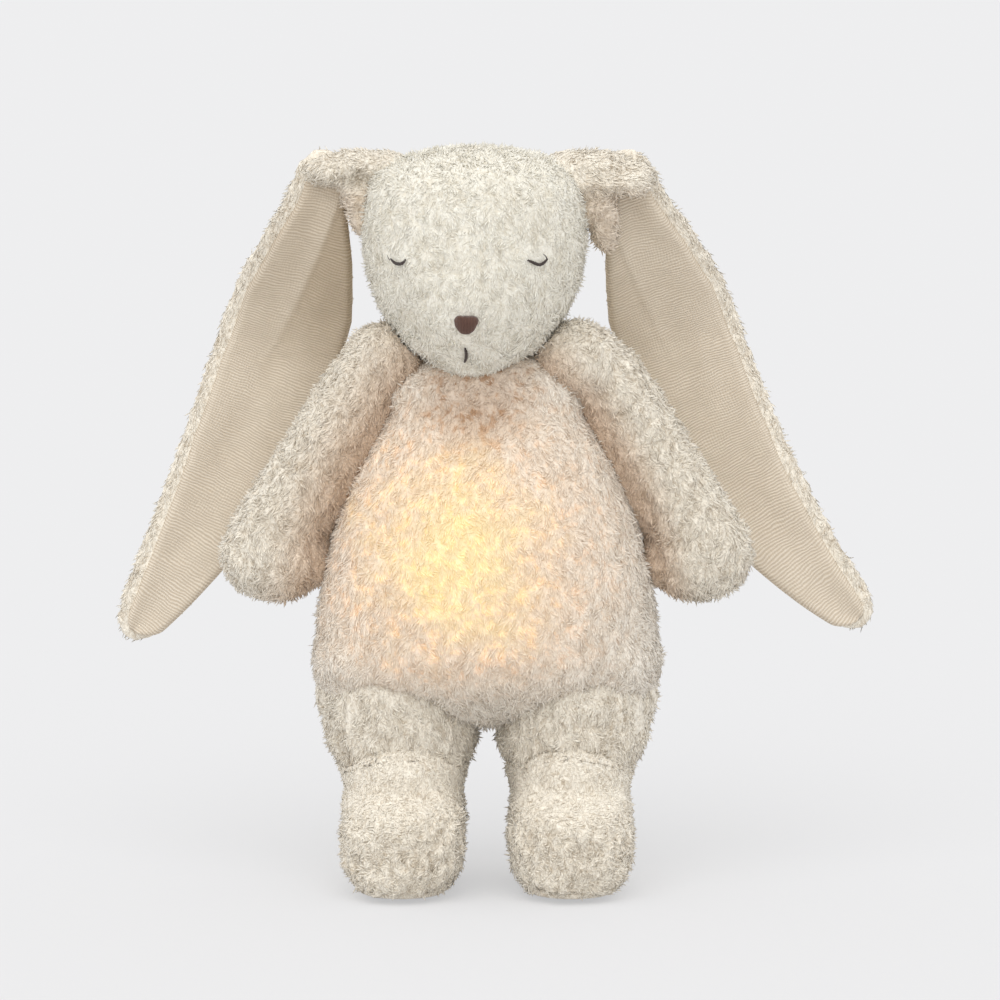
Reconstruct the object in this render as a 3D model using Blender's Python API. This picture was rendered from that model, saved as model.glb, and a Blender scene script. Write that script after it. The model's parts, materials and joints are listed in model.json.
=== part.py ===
# Stuffed rabbit night light, standing on its feet, with a lamp in a pocket of the belly.
# Metres, +Z up. The toy faces -Y. Left and right are as seen from the front, so left is -X.

import math

import bmesh
import bpy
from mathutils import Matrix, Vector
from mathutils.bvhtree import BVHTree

SIDES = (("left", -1), ("right", 1))

# Gaps and overruns
SEAM_GAP = 0.0003
FIT_GAP = 0.0005
CUT_OVERRUN = 0.030

# Torso
TORSO_HALF_WIDTH = 0.0720
TORSO_HALF_DEPTH = 0.0490
TORSO_BASE_Z = 0.0660
NECK_Z = 0.2140
BELLY_FORWARD = 0.0030
TORSO_WIDTH_SHARES = (
    (0.00, 0.96), (0.10, 0.995), (0.21, 1.00), (0.33, 0.985), (0.47, 0.935),
    (0.64, 0.835), (0.78, 0.70), (0.89, 0.57), (1.00, 0.42),
)
TORSO_DEPTH_SHARES = (
    (0.00, 0.93), (0.10, 0.98), (0.21, 1.00), (0.33, 1.00), (0.47, 0.965),
    (0.64, 0.88), (0.78, 0.76), (0.89, 0.64), (1.00, 0.53),
)
TORSO_BASE_ROUND_SHARE = 0.16
TORSO_RINGS = 17
TORSO_SIDES = 44

# Head
HEAD_HALF_WIDTH = 0.0467
HEAD_HALF_DEPTH = 0.0440
HEAD_HEIGHT = 0.0950
HEAD_OFFSET_X = -0.0050
HEAD_WIDTH_SHARES = (
    (0.00, 0.43), (0.11, 0.60), (0.286, 0.83), (0.377, 0.915), (0.466, 0.962),
    (0.60, 1.00), (0.78, 0.97), (0.91, 0.90), (1.00, 0.80),
)
HEAD_DEPTH_SHARES = (
    (0.00, 0.46), (0.11, 0.70), (0.286, 0.90), (0.377, 0.95), (0.466, 0.985),
    (0.60, 1.00), (0.78, 0.95), (0.91, 0.85), (1.00, 0.72),
)
HEAD_CROWN_ROUND_SHARE = 0.14
HEAD_RINGS = 16
HEAD_SIDES = 36
MUZZLE_RISE = 0.0055
MUZZLE_HALF_WIDTH = 0.0220
MUZZLE_HALF_HEIGHT = 0.0200
MUZZLE_ABOVE_NECK = 0.0260

# Embroidery on the face
EYE_HALF_SPAN = 0.0298
EYE_HALF_WIDTH = 0.0048
EYE_DROP = 0.0042
EYE_ABOVE_NECK = 0.0550
THREAD_RADIUS = 0.0008
THREAD_SIDES = 6
EYE_POINTS = 9
NOSE_HALF_WIDTH = 0.0050
NOSE_HALF_HEIGHT = 0.0037
NOSE_RISE = 0.0012
NOSE_ABOVE_NECK = 0.0272
NOSE_TAPER_SHARE = 0.42
NOSE_RING_SHARES = ((0.0, 0), (0.6, 0), (1.0, 0), (0.94, 0.5), (0.7, 0.85), (0.35, 1), (0.0, 1))
FACE_TURN_X = -0.0040
MOUTH_ABOVE_NECK = 0.0190
MOUTH_HEIGHT = 0.0065
MOUTH_SLANT = 0.0010
MOUTH_POINTS = 5

# Ears
EAR_LENGTH = 0.2130
EAR_HALF_WIDTH = 0.0280
EAR_HALF_THICKNESS = 0.0042
EAR_TOP_RADIUS = 0.0110
EAR_STANDOFF = 0.0173
EAR_HINGE_Y = 0.0080
EAR_BELOW_CROWN = 0.0113
EAR_SETBACK = 0.0250
EAR_SETBACK_SHARE = 0.38
EAR_WIDTH_SHARES = (
    (0.00, 0.41), (0.06, 0.50), (0.16, 0.76), (0.27, 0.97), (0.42, 1.00),
    (0.60, 0.94), (0.76, 0.75), (0.88, 0.55), (0.95, 0.42), (1.00, 0.34),
)
EAR_TIP_ROUND_SHARE = 0.07
EAR_START_ANGLES = {"left": math.radians(11), "right": math.radians(17)}
EAR_END_ANGLES = {"left": math.radians(37), "right": math.radians(52)}
EAR_CURVE_POWERS = {"left": 1.2, "right": 2.4}
EAR_STEPS = 40
EAR_RINGS = 18
EAR_SIDES = 14
LINING_THICKNESS = 0.0014
LINING_RIM = 0.0070
LINING_FLAT_SHARE = 0.62
LINING_START_SHARE = 0.05
LINING_END_SHARE = 0.96
LINING_END_WIDTH_SHARE = 0.6
ROOT_HALF_HEIGHT = 0.0085
ROOT_HALF_DEPTH = 0.0110
ROOT_SIDES = 14

# Arms
ARM_TILT = math.radians(28)
ARM_REACH = 0.1025
ARM_TOP_RADIUS = 0.0170
SHOULDER_DROP = 0.0090
SHOULDER_THICKNESS = 0.0280
HAND_THICKNESS = 0.0360
HAND_HALF_DEPTH = 0.0195
HAND_ROUND_SHARE = 0.20
ARM_FLAT = 0.0015
ARM_RINGS = 12
ARM_SIDES = 18

# Legs, which bend about one line through both hips
HIP_Z = 0.0800
HIP_RADIUS = 0.0270
HIP_OUTER_X = 0.0705
HIP_INNER_X = 0.0006
ANKLE_Z = 0.0523
ANKLE_OUTER_X = 0.0655
ANKLE_INNER_X = 0.0075
ANKLE_HALF_DEPTH = 0.0230
LEG_BEND = math.radians(55)
LEG_ROUND_POWER = 3.6
LEG_LOW_ROUND_POWER = 0.3
LEG_RINGS = 13
LEG_ARC_STEPS = 12
LEG_SHANK_STEPS = 3

# Feet
FOOT_HEEL_Y = 0.0180
FOOT_TOE_Y = -0.0620
FOOT_HALF_WIDTH = 0.0255
FOOT_X = 0.0350
FOOT_SINK = 0.0015
FOOT_CROWN = 0.0030
FOOT_WIDTH_SHARES = ((0.00, 0.90), (0.30, 1.00), (0.70, 1.00), (1.00, 0.95))
FOOT_HEIGHT_SHARES = ((0.00, 0.85), (0.15, 1.00), (0.48, 1.00), (0.66, 0.93), (0.82, 0.76), (1.00, 0.70))
FOOT_ROUND_SHARE = 0.22
FOOT_END_HEIGHT_SHARE = 0.5
FOOT_SECTION_POWER = 2.6
FOOT_RINGS = 14
FOOT_SIDES = 20

# Tail
TAIL_RADIUS = 0.0145
TAIL_Y = 0.0500
TAIL_Z = 0.0810
TAIL_RINGS = 9
TAIL_SIDES = 16

# Light unit
UNIT_X = -0.0080
UNIT_Z = 0.1460
UNIT_HALF_WIDTH = 0.0270
UNIT_HALF_HEIGHT = 0.0295
UNIT_CORNER_RADIUS = 0.0120
UNIT_REAR_Y = 0.0240
UNIT_RIM_Y = 0.0000
UNIT_FRONT_Y = -0.0280
UNIT_WALL = 0.0020
UNIT_EDGE = 0.0025
DIFFUSER_SHOULDER_Y = -0.0120
DIFFUSER_SHOULDER_INSET = 0.0030
DIFFUSER_NOSE_INSET = 0.0130
CORNER_STEPS = 4

# Inside the light unit
BOARD_REAR_Y = 0.0111
BOARD_THICKNESS = 0.0016
BOARD_CLEARANCE = 0.0012
BOSS_RADIUS = 0.0038
BOSS_BORE_RADIUS = 0.0014
SCREW_HEAD_RADIUS = 0.0022
SCREW_HEAD_HEIGHT = 0.0014
SCREW_SEAT_DEPTH = 0.0050
SCREW_BELOW_RIM = 0.0050
DIFFUSER_POST_LENGTH = 0.0080
LED_COLUMNS = 2
LED_ROWS = 2
LED_PITCH = 0.0160
LED_WIDTH = 0.0035
LED_HEIGHT = 0.0028
LED_THICKNESS = 0.0016
BATTERY_WIDTH = 0.0360
BATTERY_HEIGHT = 0.0230
BATTERY_THICKNESS = 0.0070
BATTERY_DROP = 0.0060
PAD_WIDTH = 0.0300
PAD_HEIGHT = 0.0180
LEAD_RADIUS = 0.0006
LEAD_SPACING = 0.0040
LEAD_RISE = 0.0025
LEAD_POINTS = 9
LEAD_SIDES = 6
BUTTON_SPACING = 0.0115
BUTTON_RISE_Z = 0.0160
BUTTON_RADIUS = 0.0048
BUTTON_PROUD = 0.0014
BUTTON_TRAVEL = 0.0008
BUTTON_FLANGE = 0.0010
BUTTON_FLANGE_THICKNESS = 0.0012
BUTTON_STEM_RADIUS = 0.0016
SWITCH_WIDTH = 0.0060
SWITCH_BODY_HEIGHT = 0.0032
SWITCH_PLUNGER_HEIGHT = 0.0010
SWITCH_PLUNGER_RADIUS = 0.0017
SOCKET_WIDTH = 0.0032
SOCKET_HEIGHT = 0.0090
SOCKET_WALL = 0.0004
SOCKET_DEPTH = 0.0060
SOCKET_TONGUE_WIDTH = 0.0007
SOCKET_TONGUE_HEIGHT = 0.0066
DISC_SIDES = 20
SMALL_DISC_SIDES = 12

# Pocket and its closure
LINER_THICKNESS = 0.0008
LINER_FRONT_GAP = 0.0010
LINER_MOUTH_Y = 0.0260
FLAP_HALF_WIDTH = 0.0370
FLAP_TOP_HALF_WIDTH = 0.0200
FLAP_TAPER_SHARE = 0.25
FLAP_TAPER_POWER = 1.5
FLAP_TOP_Z = 0.1930
FLAP_BOTTOM_Z = 0.1000
FLAP_THICKNESS = 0.0016
STRIP_HALF_WIDTH = 0.0280
STRIP_HEIGHT = 0.0090
STRIP_THICKNESS = 0.0007
PANEL_GAP = 0.0006
FLAP_COLUMNS = 16
FLAP_ROWS = 18
STRIP_ROWS = 3

# Cross sections
SECTION_POWER = 2.25
SHARP_ANGLE = math.radians(50)

COLOURS = {
    "cream_pile": ((0.72, 0.64, 0.52), 0.95),
    "ear_lining": ((0.50, 0.38, 0.27), 0.9),
    "brown_thread": ((0.12, 0.065, 0.045), 0.7),
    "pocket_cloth": ((0.76, 0.70, 0.60), 0.9),
    "closure_tape": ((0.78, 0.74, 0.66), 0.95),
    "white_case": ((0.80, 0.80, 0.78), 0.45),
    "opal_diffuser": ((0.95, 0.90, 0.78), 0.35),
    "green_board": ((0.05, 0.22, 0.10), 0.5),
    "warm_led": ((1.00, 0.80, 0.40), 0.3),
    "battery_wrap": ((0.10, 0.20, 0.42), 0.4),
    "foam_pad": ((0.16, 0.16, 0.17), 0.95),
    "lead_plus": ((0.55, 0.04, 0.03), 0.5),
    "lead_minus": ((0.03, 0.03, 0.03), 0.5),
    "socket_steel": ((0.62, 0.62, 0.63), 0.3),
    "switch_black": ((0.03, 0.03, 0.03), 0.5),
    "button_rubber": ((0.62, 0.60, 0.56), 0.6),
    "screw_steel": ((0.50, 0.50, 0.51), 0.35),
}
METALS = {"socket_steel", "screw_steel"}


def clear_scene():
    for obj in list(bpy.data.objects):
        bpy.data.objects.remove(obj)


def make_material(name):
    colour, roughness = COLOURS[name]
    material = bpy.data.materials.new(name)
    material.use_nodes = True
    shader = material.node_tree.nodes["Principled BSDF"]
    shader.inputs["Base Color"].default_value = (*colour, 1.0)
    shader.inputs["Roughness"].default_value = roughness
    shader.inputs["Metallic"].default_value = 1.0 if name in METALS else 0.0
    material.diffuse_color = (*colour, 1.0)
    return material


# Curves through tables of shares, and rounded ends
def share_at(table, t):
    last = len(table) - 2
    index = max(i for i in range(len(table)) if table[i][0] <= t or i == 0)
    index = min(index, last)
    (t0, v0), (t1, v1) = table[index], table[index + 1]
    before = table[max(index - 1, 0)]
    after = table[min(index + 2, last + 1)]
    slope0 = (v1 - before[1]) / (t1 - before[0])
    slope1 = (after[1] - v0) / (after[0] - t0)
    span = t1 - t0
    u = (t - t0) / span
    start = (2 * u**3 - 3 * u**2 + 1) * v0 + (u**3 - 2 * u**2 + u) * span * slope0
    end = (3 * u**2 - 2 * u**3) * v1 + (u**3 - u**2) * span * slope1
    return start + end


def round_end(distance, radius):
    if distance >= radius:
        return 1.0
    return math.sqrt(max(0.0, 1 - ((radius - distance) / radius) ** 2))


def eased(count):
    return [(1 - math.cos(math.pi * i / (count - 1))) / 2 for i in range(count)]


def signed_power(value, power):
    return math.copysign(abs(value) ** power, value)


def section(centre, across, along, half_across, half_along, sides, power=SECTION_POWER):
    points = []
    for i in range(sides):
        angle = 2 * math.pi * i / sides
        a = half_across * signed_power(math.cos(angle), 2 / power)
        b = half_along * signed_power(math.sin(angle), 2 / power)
        points.append(centre + across * a + along * b)
    return points


# Mesh builders
def loft(rings):
    mesh = bmesh.new()
    loops = [[mesh.verts.new(point) for point in ring] for ring in rings]
    for low, high in zip(loops, loops[1:]):
        count = max(len(low), len(high))
        for i in range(count):
            j = (i + 1) % count
            if len(low) == 1:
                mesh.faces.new((low[0], high[j], high[i]))
            elif len(high) == 1:
                mesh.faces.new((low[i], low[j], high[0]))
            else:
                mesh.faces.new((low[i], low[j], high[j], high[i]))
    for ring in (loops[0], loops[-1]):
        if len(ring) > 1:
            mesh.faces.new(ring)
    bmesh.ops.recalc_face_normals(mesh, faces=mesh.faces)
    return mesh


def slab(lower, upper):
    mesh = bmesh.new()
    rows, columns = len(lower), len(lower[0])
    low = [[mesh.verts.new(point) for point in row] for row in lower]
    high = [[mesh.verts.new(point) for point in row] for row in upper]
    for grid in (low, high):
        for i in range(rows - 1):
            for j in range(columns - 1):
                mesh.faces.new((grid[i][j], grid[i + 1][j], grid[i + 1][j + 1], grid[i][j + 1]))
    edge = [(0, j) for j in range(columns)]
    edge += [(i, columns - 1) for i in range(1, rows)]
    edge += [(rows - 1, j) for j in range(columns - 2, -1, -1)]
    edge += [(i, 0) for i in range(rows - 2, 0, -1)]
    for (i, j), (k, m) in zip(edge, edge[1:] + edge[:1]):
        mesh.faces.new((low[i][j], low[k][m], high[k][m], high[i][j]))
    bmesh.ops.recalc_face_normals(mesh, faces=mesh.faces)
    return mesh


def tube(points, radius, sides):
    rings = []
    for i, point in enumerate(points):
        ahead = points[min(i + 1, len(points) - 1)]
        behind = points[max(i - 1, 0)]
        way = (ahead - behind).normalized()
        across = way.orthogonal().normalized()
        if i:
            across = (last_across - way * last_across.dot(way)).normalized()
        last_across = across
        rings.append(section(point, across, way.cross(across), radius, radius, sides, 2))
    return loft(rings)


def prism(outline, front_y, rear_y):
    front = [Vector((x, front_y, z)) for x, z in outline]
    rear = [Vector((x, rear_y, z)) for x, z in outline]
    return loft([front, rear])


def disc(centre_x, centre_z, radius, sides):
    turns = [2 * math.pi * i / sides for i in range(sides)]
    return [(centre_x + radius * math.cos(turn), centre_z + radius * math.sin(turn)) for turn in turns]


def rectangle(centre_x, centre_z, half_width, half_height):
    corners = ((-1, -1), (1, -1), (1, 1), (-1, 1))
    return [(centre_x + a * half_width, centre_z + b * half_height) for a, b in corners]


def rounded_rectangle(centre_x, centre_z, half_width, half_height, radius):
    points = []
    for quarter, (a, b) in enumerate(((1, 1), (-1, 1), (-1, -1), (1, -1))):
        for step in range(CORNER_STEPS + 1):
            turn = math.pi / 2 * (quarter + step / CORNER_STEPS)
            x = centre_x + a * (half_width - radius) + radius * math.cos(turn)
            z = centre_z + b * (half_height - radius) + radius * math.sin(turn)
            points.append((x, z))
    return points


def at_depth(outline, y):
    return [Vector((x, y, z)) for x, z in outline]


# Objects, pivots and cuts
class Toy:
    def __init__(self):
        self.materials = {name: make_material(name) for name in COLOURS}
        self.pivots = {}
        self.empties = {}

    def add_pivot(self, name, position, parent=None):
        empty = bpy.data.objects.new(name + "_pivot", None)
        bpy.context.scene.collection.objects.link(empty)
        self.pivots[name] = Vector(position)
        self.empties[name] = empty
        empty.empty_display_size = ARM_TOP_RADIUS
        if parent:
            empty.parent = self.empties[parent]
            empty.location = self.pivots[name] - self.pivots[parent]

    def add_object(self, name, mesh, pivot):
        data = bpy.data.meshes.new(name)
        mesh.to_mesh(data)
        mesh.free()
        data.transform(Matrix.Translation(-self.pivots[pivot]))
        obj = bpy.data.objects.new(name, data)
        obj.parent = self.empties[pivot]
        bpy.context.scene.collection.objects.link(obj)
        return obj

    def add(self, name, mesh, material, pivot, smooth=True):
        obj = self.add_object(name, mesh, pivot)
        obj.data.materials.append(self.materials[material])
        if smooth:
            obj.data.shade_smooth()
            obj.data.set_sharp_from_angle(angle=SHARP_ANGLE)
        return obj

    def helper(self, name, mesh, pivot):
        obj = self.add_object(name, mesh, pivot)
        obj.hide_render = True
        obj.display_type = "WIRE"
        return obj


def boolean(obj, helper, operation):
    modifier = obj.modifiers.new(helper.name, "BOOLEAN")
    modifier.operation = operation
    modifier.object = helper


# Torso
def torso_size(t):
    height = NECK_Z - TORSO_BASE_Z
    base = round_end(t * height, TORSO_BASE_ROUND_SHARE * height)
    half_width = TORSO_HALF_WIDTH * share_at(TORSO_WIDTH_SHARES, t) * base
    half_depth = TORSO_HALF_DEPTH * share_at(TORSO_DEPTH_SHARES, t) * base
    return half_width, half_depth


def torso_rings(grow=0.0):
    rings = []
    for t in eased(TORSO_RINGS):
        half_width, half_depth = torso_size(t)
        z = TORSO_BASE_Z + t * (NECK_Z - TORSO_BASE_Z)
        centre = Vector((0, -BELLY_FORWARD * math.sin(math.pi * t), z))
        if t == 0:
            rings.append([centre - Vector((0, 0, grow))])
        else:
            x_axis, y_axis = Vector((1, 0, 0)), Vector((0, 1, 0))
            rings.append(section(centre, x_axis, y_axis, half_width + grow, half_depth + grow, TORSO_SIDES))
    return rings


def surface_of(rings):
    mesh = loft(rings)
    tree = BVHTree.FromBMesh(mesh)
    mesh.free()
    return tree


def on_surface(tree, x, z, facing, offset):
    start = Vector((x, facing * (TORSO_HALF_DEPTH + CUT_OVERRUN), z))
    point, normal, _, _ = tree.ray_cast(start, Vector((0, -facing, 0)))
    return point + Vector((0, facing * offset / abs(normal.y), 0))


def pocket_outline(gap):
    radius = UNIT_CORNER_RADIUS + gap
    return rounded_rectangle(UNIT_X, UNIT_Z, UNIT_HALF_WIDTH + gap, UNIT_HALF_HEIGHT + gap, radius)


def make_torso(toy):
    torso = toy.add("torso", loft(torso_rings()), "cream_pile", "toy")
    liner_room = FIT_GAP + LINER_THICKNESS + SEAM_GAP
    front = UNIT_FRONT_Y - LINER_FRONT_GAP - liner_room
    rear = TORSO_HALF_DEPTH + CUT_OVERRUN
    pocket = prism(pocket_outline(liner_room), front, rear)
    boolean(torso, toy.helper("pocket_cut", pocket, "toy"), "DIFFERENCE")
    reach = TORSO_HALF_WIDTH + CUT_OVERRUN
    radius = HIP_RADIUS + SEAM_GAP
    turns = [2 * math.pi * i / (4 * LEG_ARC_STEPS) for i in range(4 * LEG_ARC_STEPS)]
    ring = [Vector((0, radius * math.cos(turn), HIP_Z + radius * math.sin(turn))) for turn in turns]
    cylinder = loft([[p + Vector((side * reach, 0, 0)) for p in ring] for side in (-1, 1)])
    boolean(torso, toy.helper("hip_cut", cylinder, "toy"), "DIFFERENCE")
    # Room for the thighs to fold forward, below the line that their front reaches.
    touch = Vector((0, -radius * math.cos(LEG_BEND), HIP_Z + radius * math.sin(LEG_BEND)))
    along = Vector((0, -math.sin(LEG_BEND), -math.cos(LEG_BEND)))
    far = touch + along * (TORSO_HALF_DEPTH + CUT_OVERRUN) / math.sin(LEG_BEND)
    low = Vector((0, far.y, min(far.z, TORSO_BASE_Z - CUT_OVERRUN)))
    heel_side = Vector((0, radius, HIP_Z))
    corners = [touch, far, low, Vector((0, radius, low.z)), heel_side]
    wedge = loft([[p + Vector((side * reach, 0, 0)) for p in corners] for side in (-1, 1)])
    boolean(torso, toy.helper("thigh_room_cut", wedge, "toy"), "DIFFERENCE")


# Head and face
def head_rings(grow=0.0):
    rings = []
    for t in eased(HEAD_RINGS):
        crown = round_end((1 - t) * HEAD_HEIGHT, HEAD_CROWN_ROUND_SHARE * HEAD_HEIGHT)
        half_width = HEAD_HALF_WIDTH * share_at(HEAD_WIDTH_SHARES, t) * crown + grow
        half_depth = HEAD_HALF_DEPTH * share_at(HEAD_DEPTH_SHARES, t) * crown + grow
        z = NECK_Z + SEAM_GAP + t * HEAD_HEIGHT
        centre = Vector((HEAD_OFFSET_X, 0, z))
        if t == 1:
            rings.append([centre + Vector((0, 0, grow))])
            continue
        ring = section(centre, Vector((1, 0, 0)), Vector((0, 1, 0)), half_width, half_depth, HEAD_SIDES)
        for point in ring:
            if point.y < 0:
                spread_x = (point.x - HEAD_OFFSET_X - FACE_TURN_X) / MUZZLE_HALF_WIDTH
                spread_z = (z - NECK_Z - MUZZLE_ABOVE_NECK) / MUZZLE_HALF_HEIGHT
                forward = MUZZLE_RISE * math.exp(-spread_x**2 - spread_z**2)
                point.y -= forward * -point.y / (half_depth + grow)
        rings.append(ring)
    return rings


def make_head(toy):
    toy.add("head", loft(head_rings()), "cream_pile", "head")


def make_face(toy, face):
    middle = HEAD_OFFSET_X + FACE_TURN_X
    lift = THREAD_RADIUS + SEAM_GAP
    for name, side in SIDES:
        points = []
        for i in range(EYE_POINTS):
            u = 2 * i / (EYE_POINTS - 1) - 1
            x = middle + side * EYE_HALF_SPAN + u * EYE_HALF_WIDTH
            z = NECK_Z + EYE_ABOVE_NECK - EYE_DROP * (1 - u * u)
            points.append(on_surface(face, x, z, -1, lift))
        toy.add("eye_stitch_" + name, tube(points, THREAD_RADIUS, THREAD_SIDES), "brown_thread", "head")
    points = []
    for i in range(MOUTH_POINTS):
        u = i / (MOUTH_POINTS - 1)
        z = NECK_Z + MOUTH_ABOVE_NECK - u * MOUTH_HEIGHT
        points.append(on_surface(face, middle + u * MOUTH_SLANT, z, -1, lift))
    toy.add("mouth_stitch", tube(points, THREAD_RADIUS, THREAD_SIDES), "brown_thread", "head")
    nose_z = NECK_Z + NOSE_ABOVE_NECK
    rings = []
    for shrink, raised in NOSE_RING_SHARES:
        offset = SEAM_GAP + PANEL_GAP + NOSE_RISE * raised
        if shrink == 0:
            rings.append([on_surface(face, middle, nose_z, -1, offset)])
            continue
        ring = []
        for i in range(DISC_SIDES):
            turn = 2 * math.pi * i / DISC_SIDES
            wide = NOSE_HALF_WIDTH * math.cos(turn) * (1 + NOSE_TAPER_SHARE * math.sin(turn))
            high = NOSE_HALF_HEIGHT * math.sin(turn)
            ring.append(on_surface(face, middle + shrink * wide, nose_z + shrink * high, -1, offset))
        rings.append(ring)
    toy.add("nose_embroidery", loft(rings), "brown_thread", "head")


# Ears
def ear_hinge(side):
    x = HEAD_OFFSET_X + side * (HEAD_HALF_WIDTH + EAR_STANDOFF)
    crown = NECK_Z + SEAM_GAP + HEAD_HEIGHT
    return Vector((x, EAR_HINGE_Y, crown - EAR_BELOW_CROWN))


def ear_angle(name, share):
    start, end = EAR_START_ANGLES[name], EAR_END_ANGLES[name]
    return start + (end - start) * max(share, 0) ** EAR_CURVE_POWERS[name]


def ear_frame(name, side, share):
    # Centre, outward direction in the ear's plane and forward normal, at a share of its length.
    point = ear_hinge(side)
    step = EAR_LENGTH * share / EAR_STEPS
    for i in range(EAR_STEPS):
        angle = ear_angle(name, share * (i + 0.5) / EAR_STEPS)
        point += Vector((side * math.sin(angle), 0, -math.cos(angle))) * step
    u = min(max(share / EAR_SETBACK_SHARE, 0), 1)
    point.y = EAR_HINGE_Y + EAR_SETBACK * u * u * (3 - 2 * u)
    lean = EAR_SETBACK * 6 * u * (1 - u) / EAR_SETBACK_SHARE / EAR_LENGTH
    angle = ear_angle(name, share)
    across = Vector((side * math.cos(angle), 0, math.sin(angle)))
    down = Vector((side * math.sin(angle), lean, -math.cos(angle))).normalized()
    normal = across.cross(down).normalized()
    return point, across, normal if normal.y < 0 else -normal


def ear_half_width(share):
    if share < 0:
        return math.sqrt(max(0, EAR_TOP_RADIUS**2 - (share * EAR_LENGTH) ** 2))
    tip = round_end((1 - share) * EAR_LENGTH, EAR_TIP_ROUND_SHARE * EAR_LENGTH)
    return EAR_HALF_WIDTH * share_at(EAR_WIDTH_SHARES, share) * tip


def ear_ring_shares():
    top = -EAR_TOP_RADIUS / EAR_LENGTH
    return [top + (1 - top) * t for t in eased(EAR_RINGS)]


def ear_rings(name, side, grow=0.0):
    rings = []
    for share in ear_ring_shares():
        point, across, normal = ear_frame(name, side, share)
        half_width = ear_half_width(share)
        if half_width < SEAM_GAP:
            rings.append([point])
            continue
        thickness = EAR_HALF_THICKNESS * min(1, half_width / EAR_TOP_RADIUS)
        ring = section(point, across, normal, half_width + grow, thickness + grow, EAR_SIDES)
        front = LINING_FLAT_SHARE * thickness + grow
        for vertex in ring:
            above = (vertex - point).dot(normal) - front
            if above > 0:
                vertex -= normal * above
        rings.append(ring)
    return rings


def lining_rings(name, side):
    # The lining lies on the ear's flat front, between the same rings.
    rings = []
    inside = [share for share in ear_ring_shares() if LINING_START_SHARE < share < LINING_END_SHARE]
    for share in inside:
        point, across, normal = ear_frame(name, side, share)
        half_width = ear_half_width(share) - LINING_RIM
        if share in (inside[0], inside[-1]):
            half_width *= LINING_END_WIDTH_SHARE
        thickness = EAR_HALF_THICKNESS * min(1, ear_half_width(share) / EAR_TOP_RADIUS)
        low = point + normal * (LINING_FLAT_SHARE * thickness + SEAM_GAP)
        high = low + normal * LINING_THICKNESS
        rings.append([low - across * half_width, low + across * half_width,
                      high + across * (half_width - LINING_THICKNESS / 2),
                      high - across * (half_width - LINING_THICKNESS / 2)])
    return rings


def make_ears(toy):
    for name, side in SIDES:
        pivot = "ear_" + name
        toy.add("ear_back_" + name, loft(ear_rings(name, side)), "cream_pile", pivot)
        toy.add("ear_lining_" + name, loft(lining_rings(name, side)), "ear_lining", pivot)
        hinge = ear_hinge(side)
        inside = Vector((hinge.x - side * (EAR_TOP_RADIUS + ROOT_HALF_DEPTH), hinge.y, hinge.z))
        deep, high = Vector((0, 1, 0)), Vector((0, 0, 1))
        rings = [section(centre, deep, high, ROOT_HALF_DEPTH, ROOT_HALF_HEIGHT, ROOT_SIDES)
                 for centre in (inside, hinge)]
        root = toy.add("ear_root_" + name, loft(rings), "cream_pile", "head")
        cutter = prism(disc(hinge.x, hinge.z, EAR_TOP_RADIUS + SEAM_GAP, DISC_SIDES * 2),
                       hinge.y - ROOT_HALF_DEPTH - CUT_OVERRUN, hinge.y + ROOT_HALF_DEPTH + CUT_OVERRUN)
        boolean(root, toy.helper("ear_top_cut_" + name, cutter, "head"), "DIFFERENCE")
        ear_copy = toy.helper("ear_cut_" + name, loft(ear_rings(name, side, SEAM_GAP)), "head")
        boolean(root, ear_copy, "DIFFERENCE")
        head_copy = toy.helper("head_cut_" + name, loft(head_rings(SEAM_GAP)), "head")
        boolean(root, head_copy, "DIFFERENCE")


# Arms
def arm_axes(side):
    down = Vector((side * math.sin(ARM_TILT), 0, -math.cos(ARM_TILT)))
    outward = Vector((side * math.cos(ARM_TILT), 0, math.sin(ARM_TILT)))
    return down, outward


def shoulder(side):
    # The arm lies on the plane that just clears the torso's side.
    _, outward = arm_axes(side)
    reach = max(point.dot(outward) for ring in torso_rings() for point in ring) + SEAM_GAP
    z = NECK_Z - SHOULDER_DROP
    x = side * (reach - z * math.sin(ARM_TILT)) / math.cos(ARM_TILT)
    return Vector((x, 0, z))


def make_arms(toy):
    for name, side in SIDES:
        hinge = shoulder(side)
        down, outward = arm_axes(side)
        rings = []
        for t in eased(ARM_RINGS):
            s = -ARM_TOP_RADIUS + t * (ARM_REACH + ARM_TOP_RADIUS)
            u = max(s, 0) / ARM_REACH
            top = math.sqrt(max(0, 1 - min(s, 0) ** 2 / ARM_TOP_RADIUS**2))
            hand = round_end(ARM_REACH - s, HAND_ROUND_SHARE * ARM_REACH)
            thickness = (SHOULDER_THICKNESS + (HAND_THICKNESS - SHOULDER_THICKNESS) * u) * top * hand
            half_depth = (ARM_TOP_RADIUS + (HAND_HALF_DEPTH - ARM_TOP_RADIUS) * u) * top * hand
            full = (SHOULDER_THICKNESS + (HAND_THICKNESS - SHOULDER_THICKNESS) * u) / 2
            centre = hinge + down * s + outward * full
            if half_depth < SEAM_GAP:
                rings.append([centre])
                continue
            half = (thickness + ARM_FLAT) / 2
            ring = section(centre, outward, Vector((0, 1, 0)), half, half_depth, ARM_SIDES, 2)
            for vertex in ring:
                inside = (vertex - hinge).dot(outward)
                if inside < 0:
                    vertex -= outward * inside
            rings.append(ring)
        toy.add("arm_" + name, loft(rings), "cream_pile", "arm_" + name)


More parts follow.
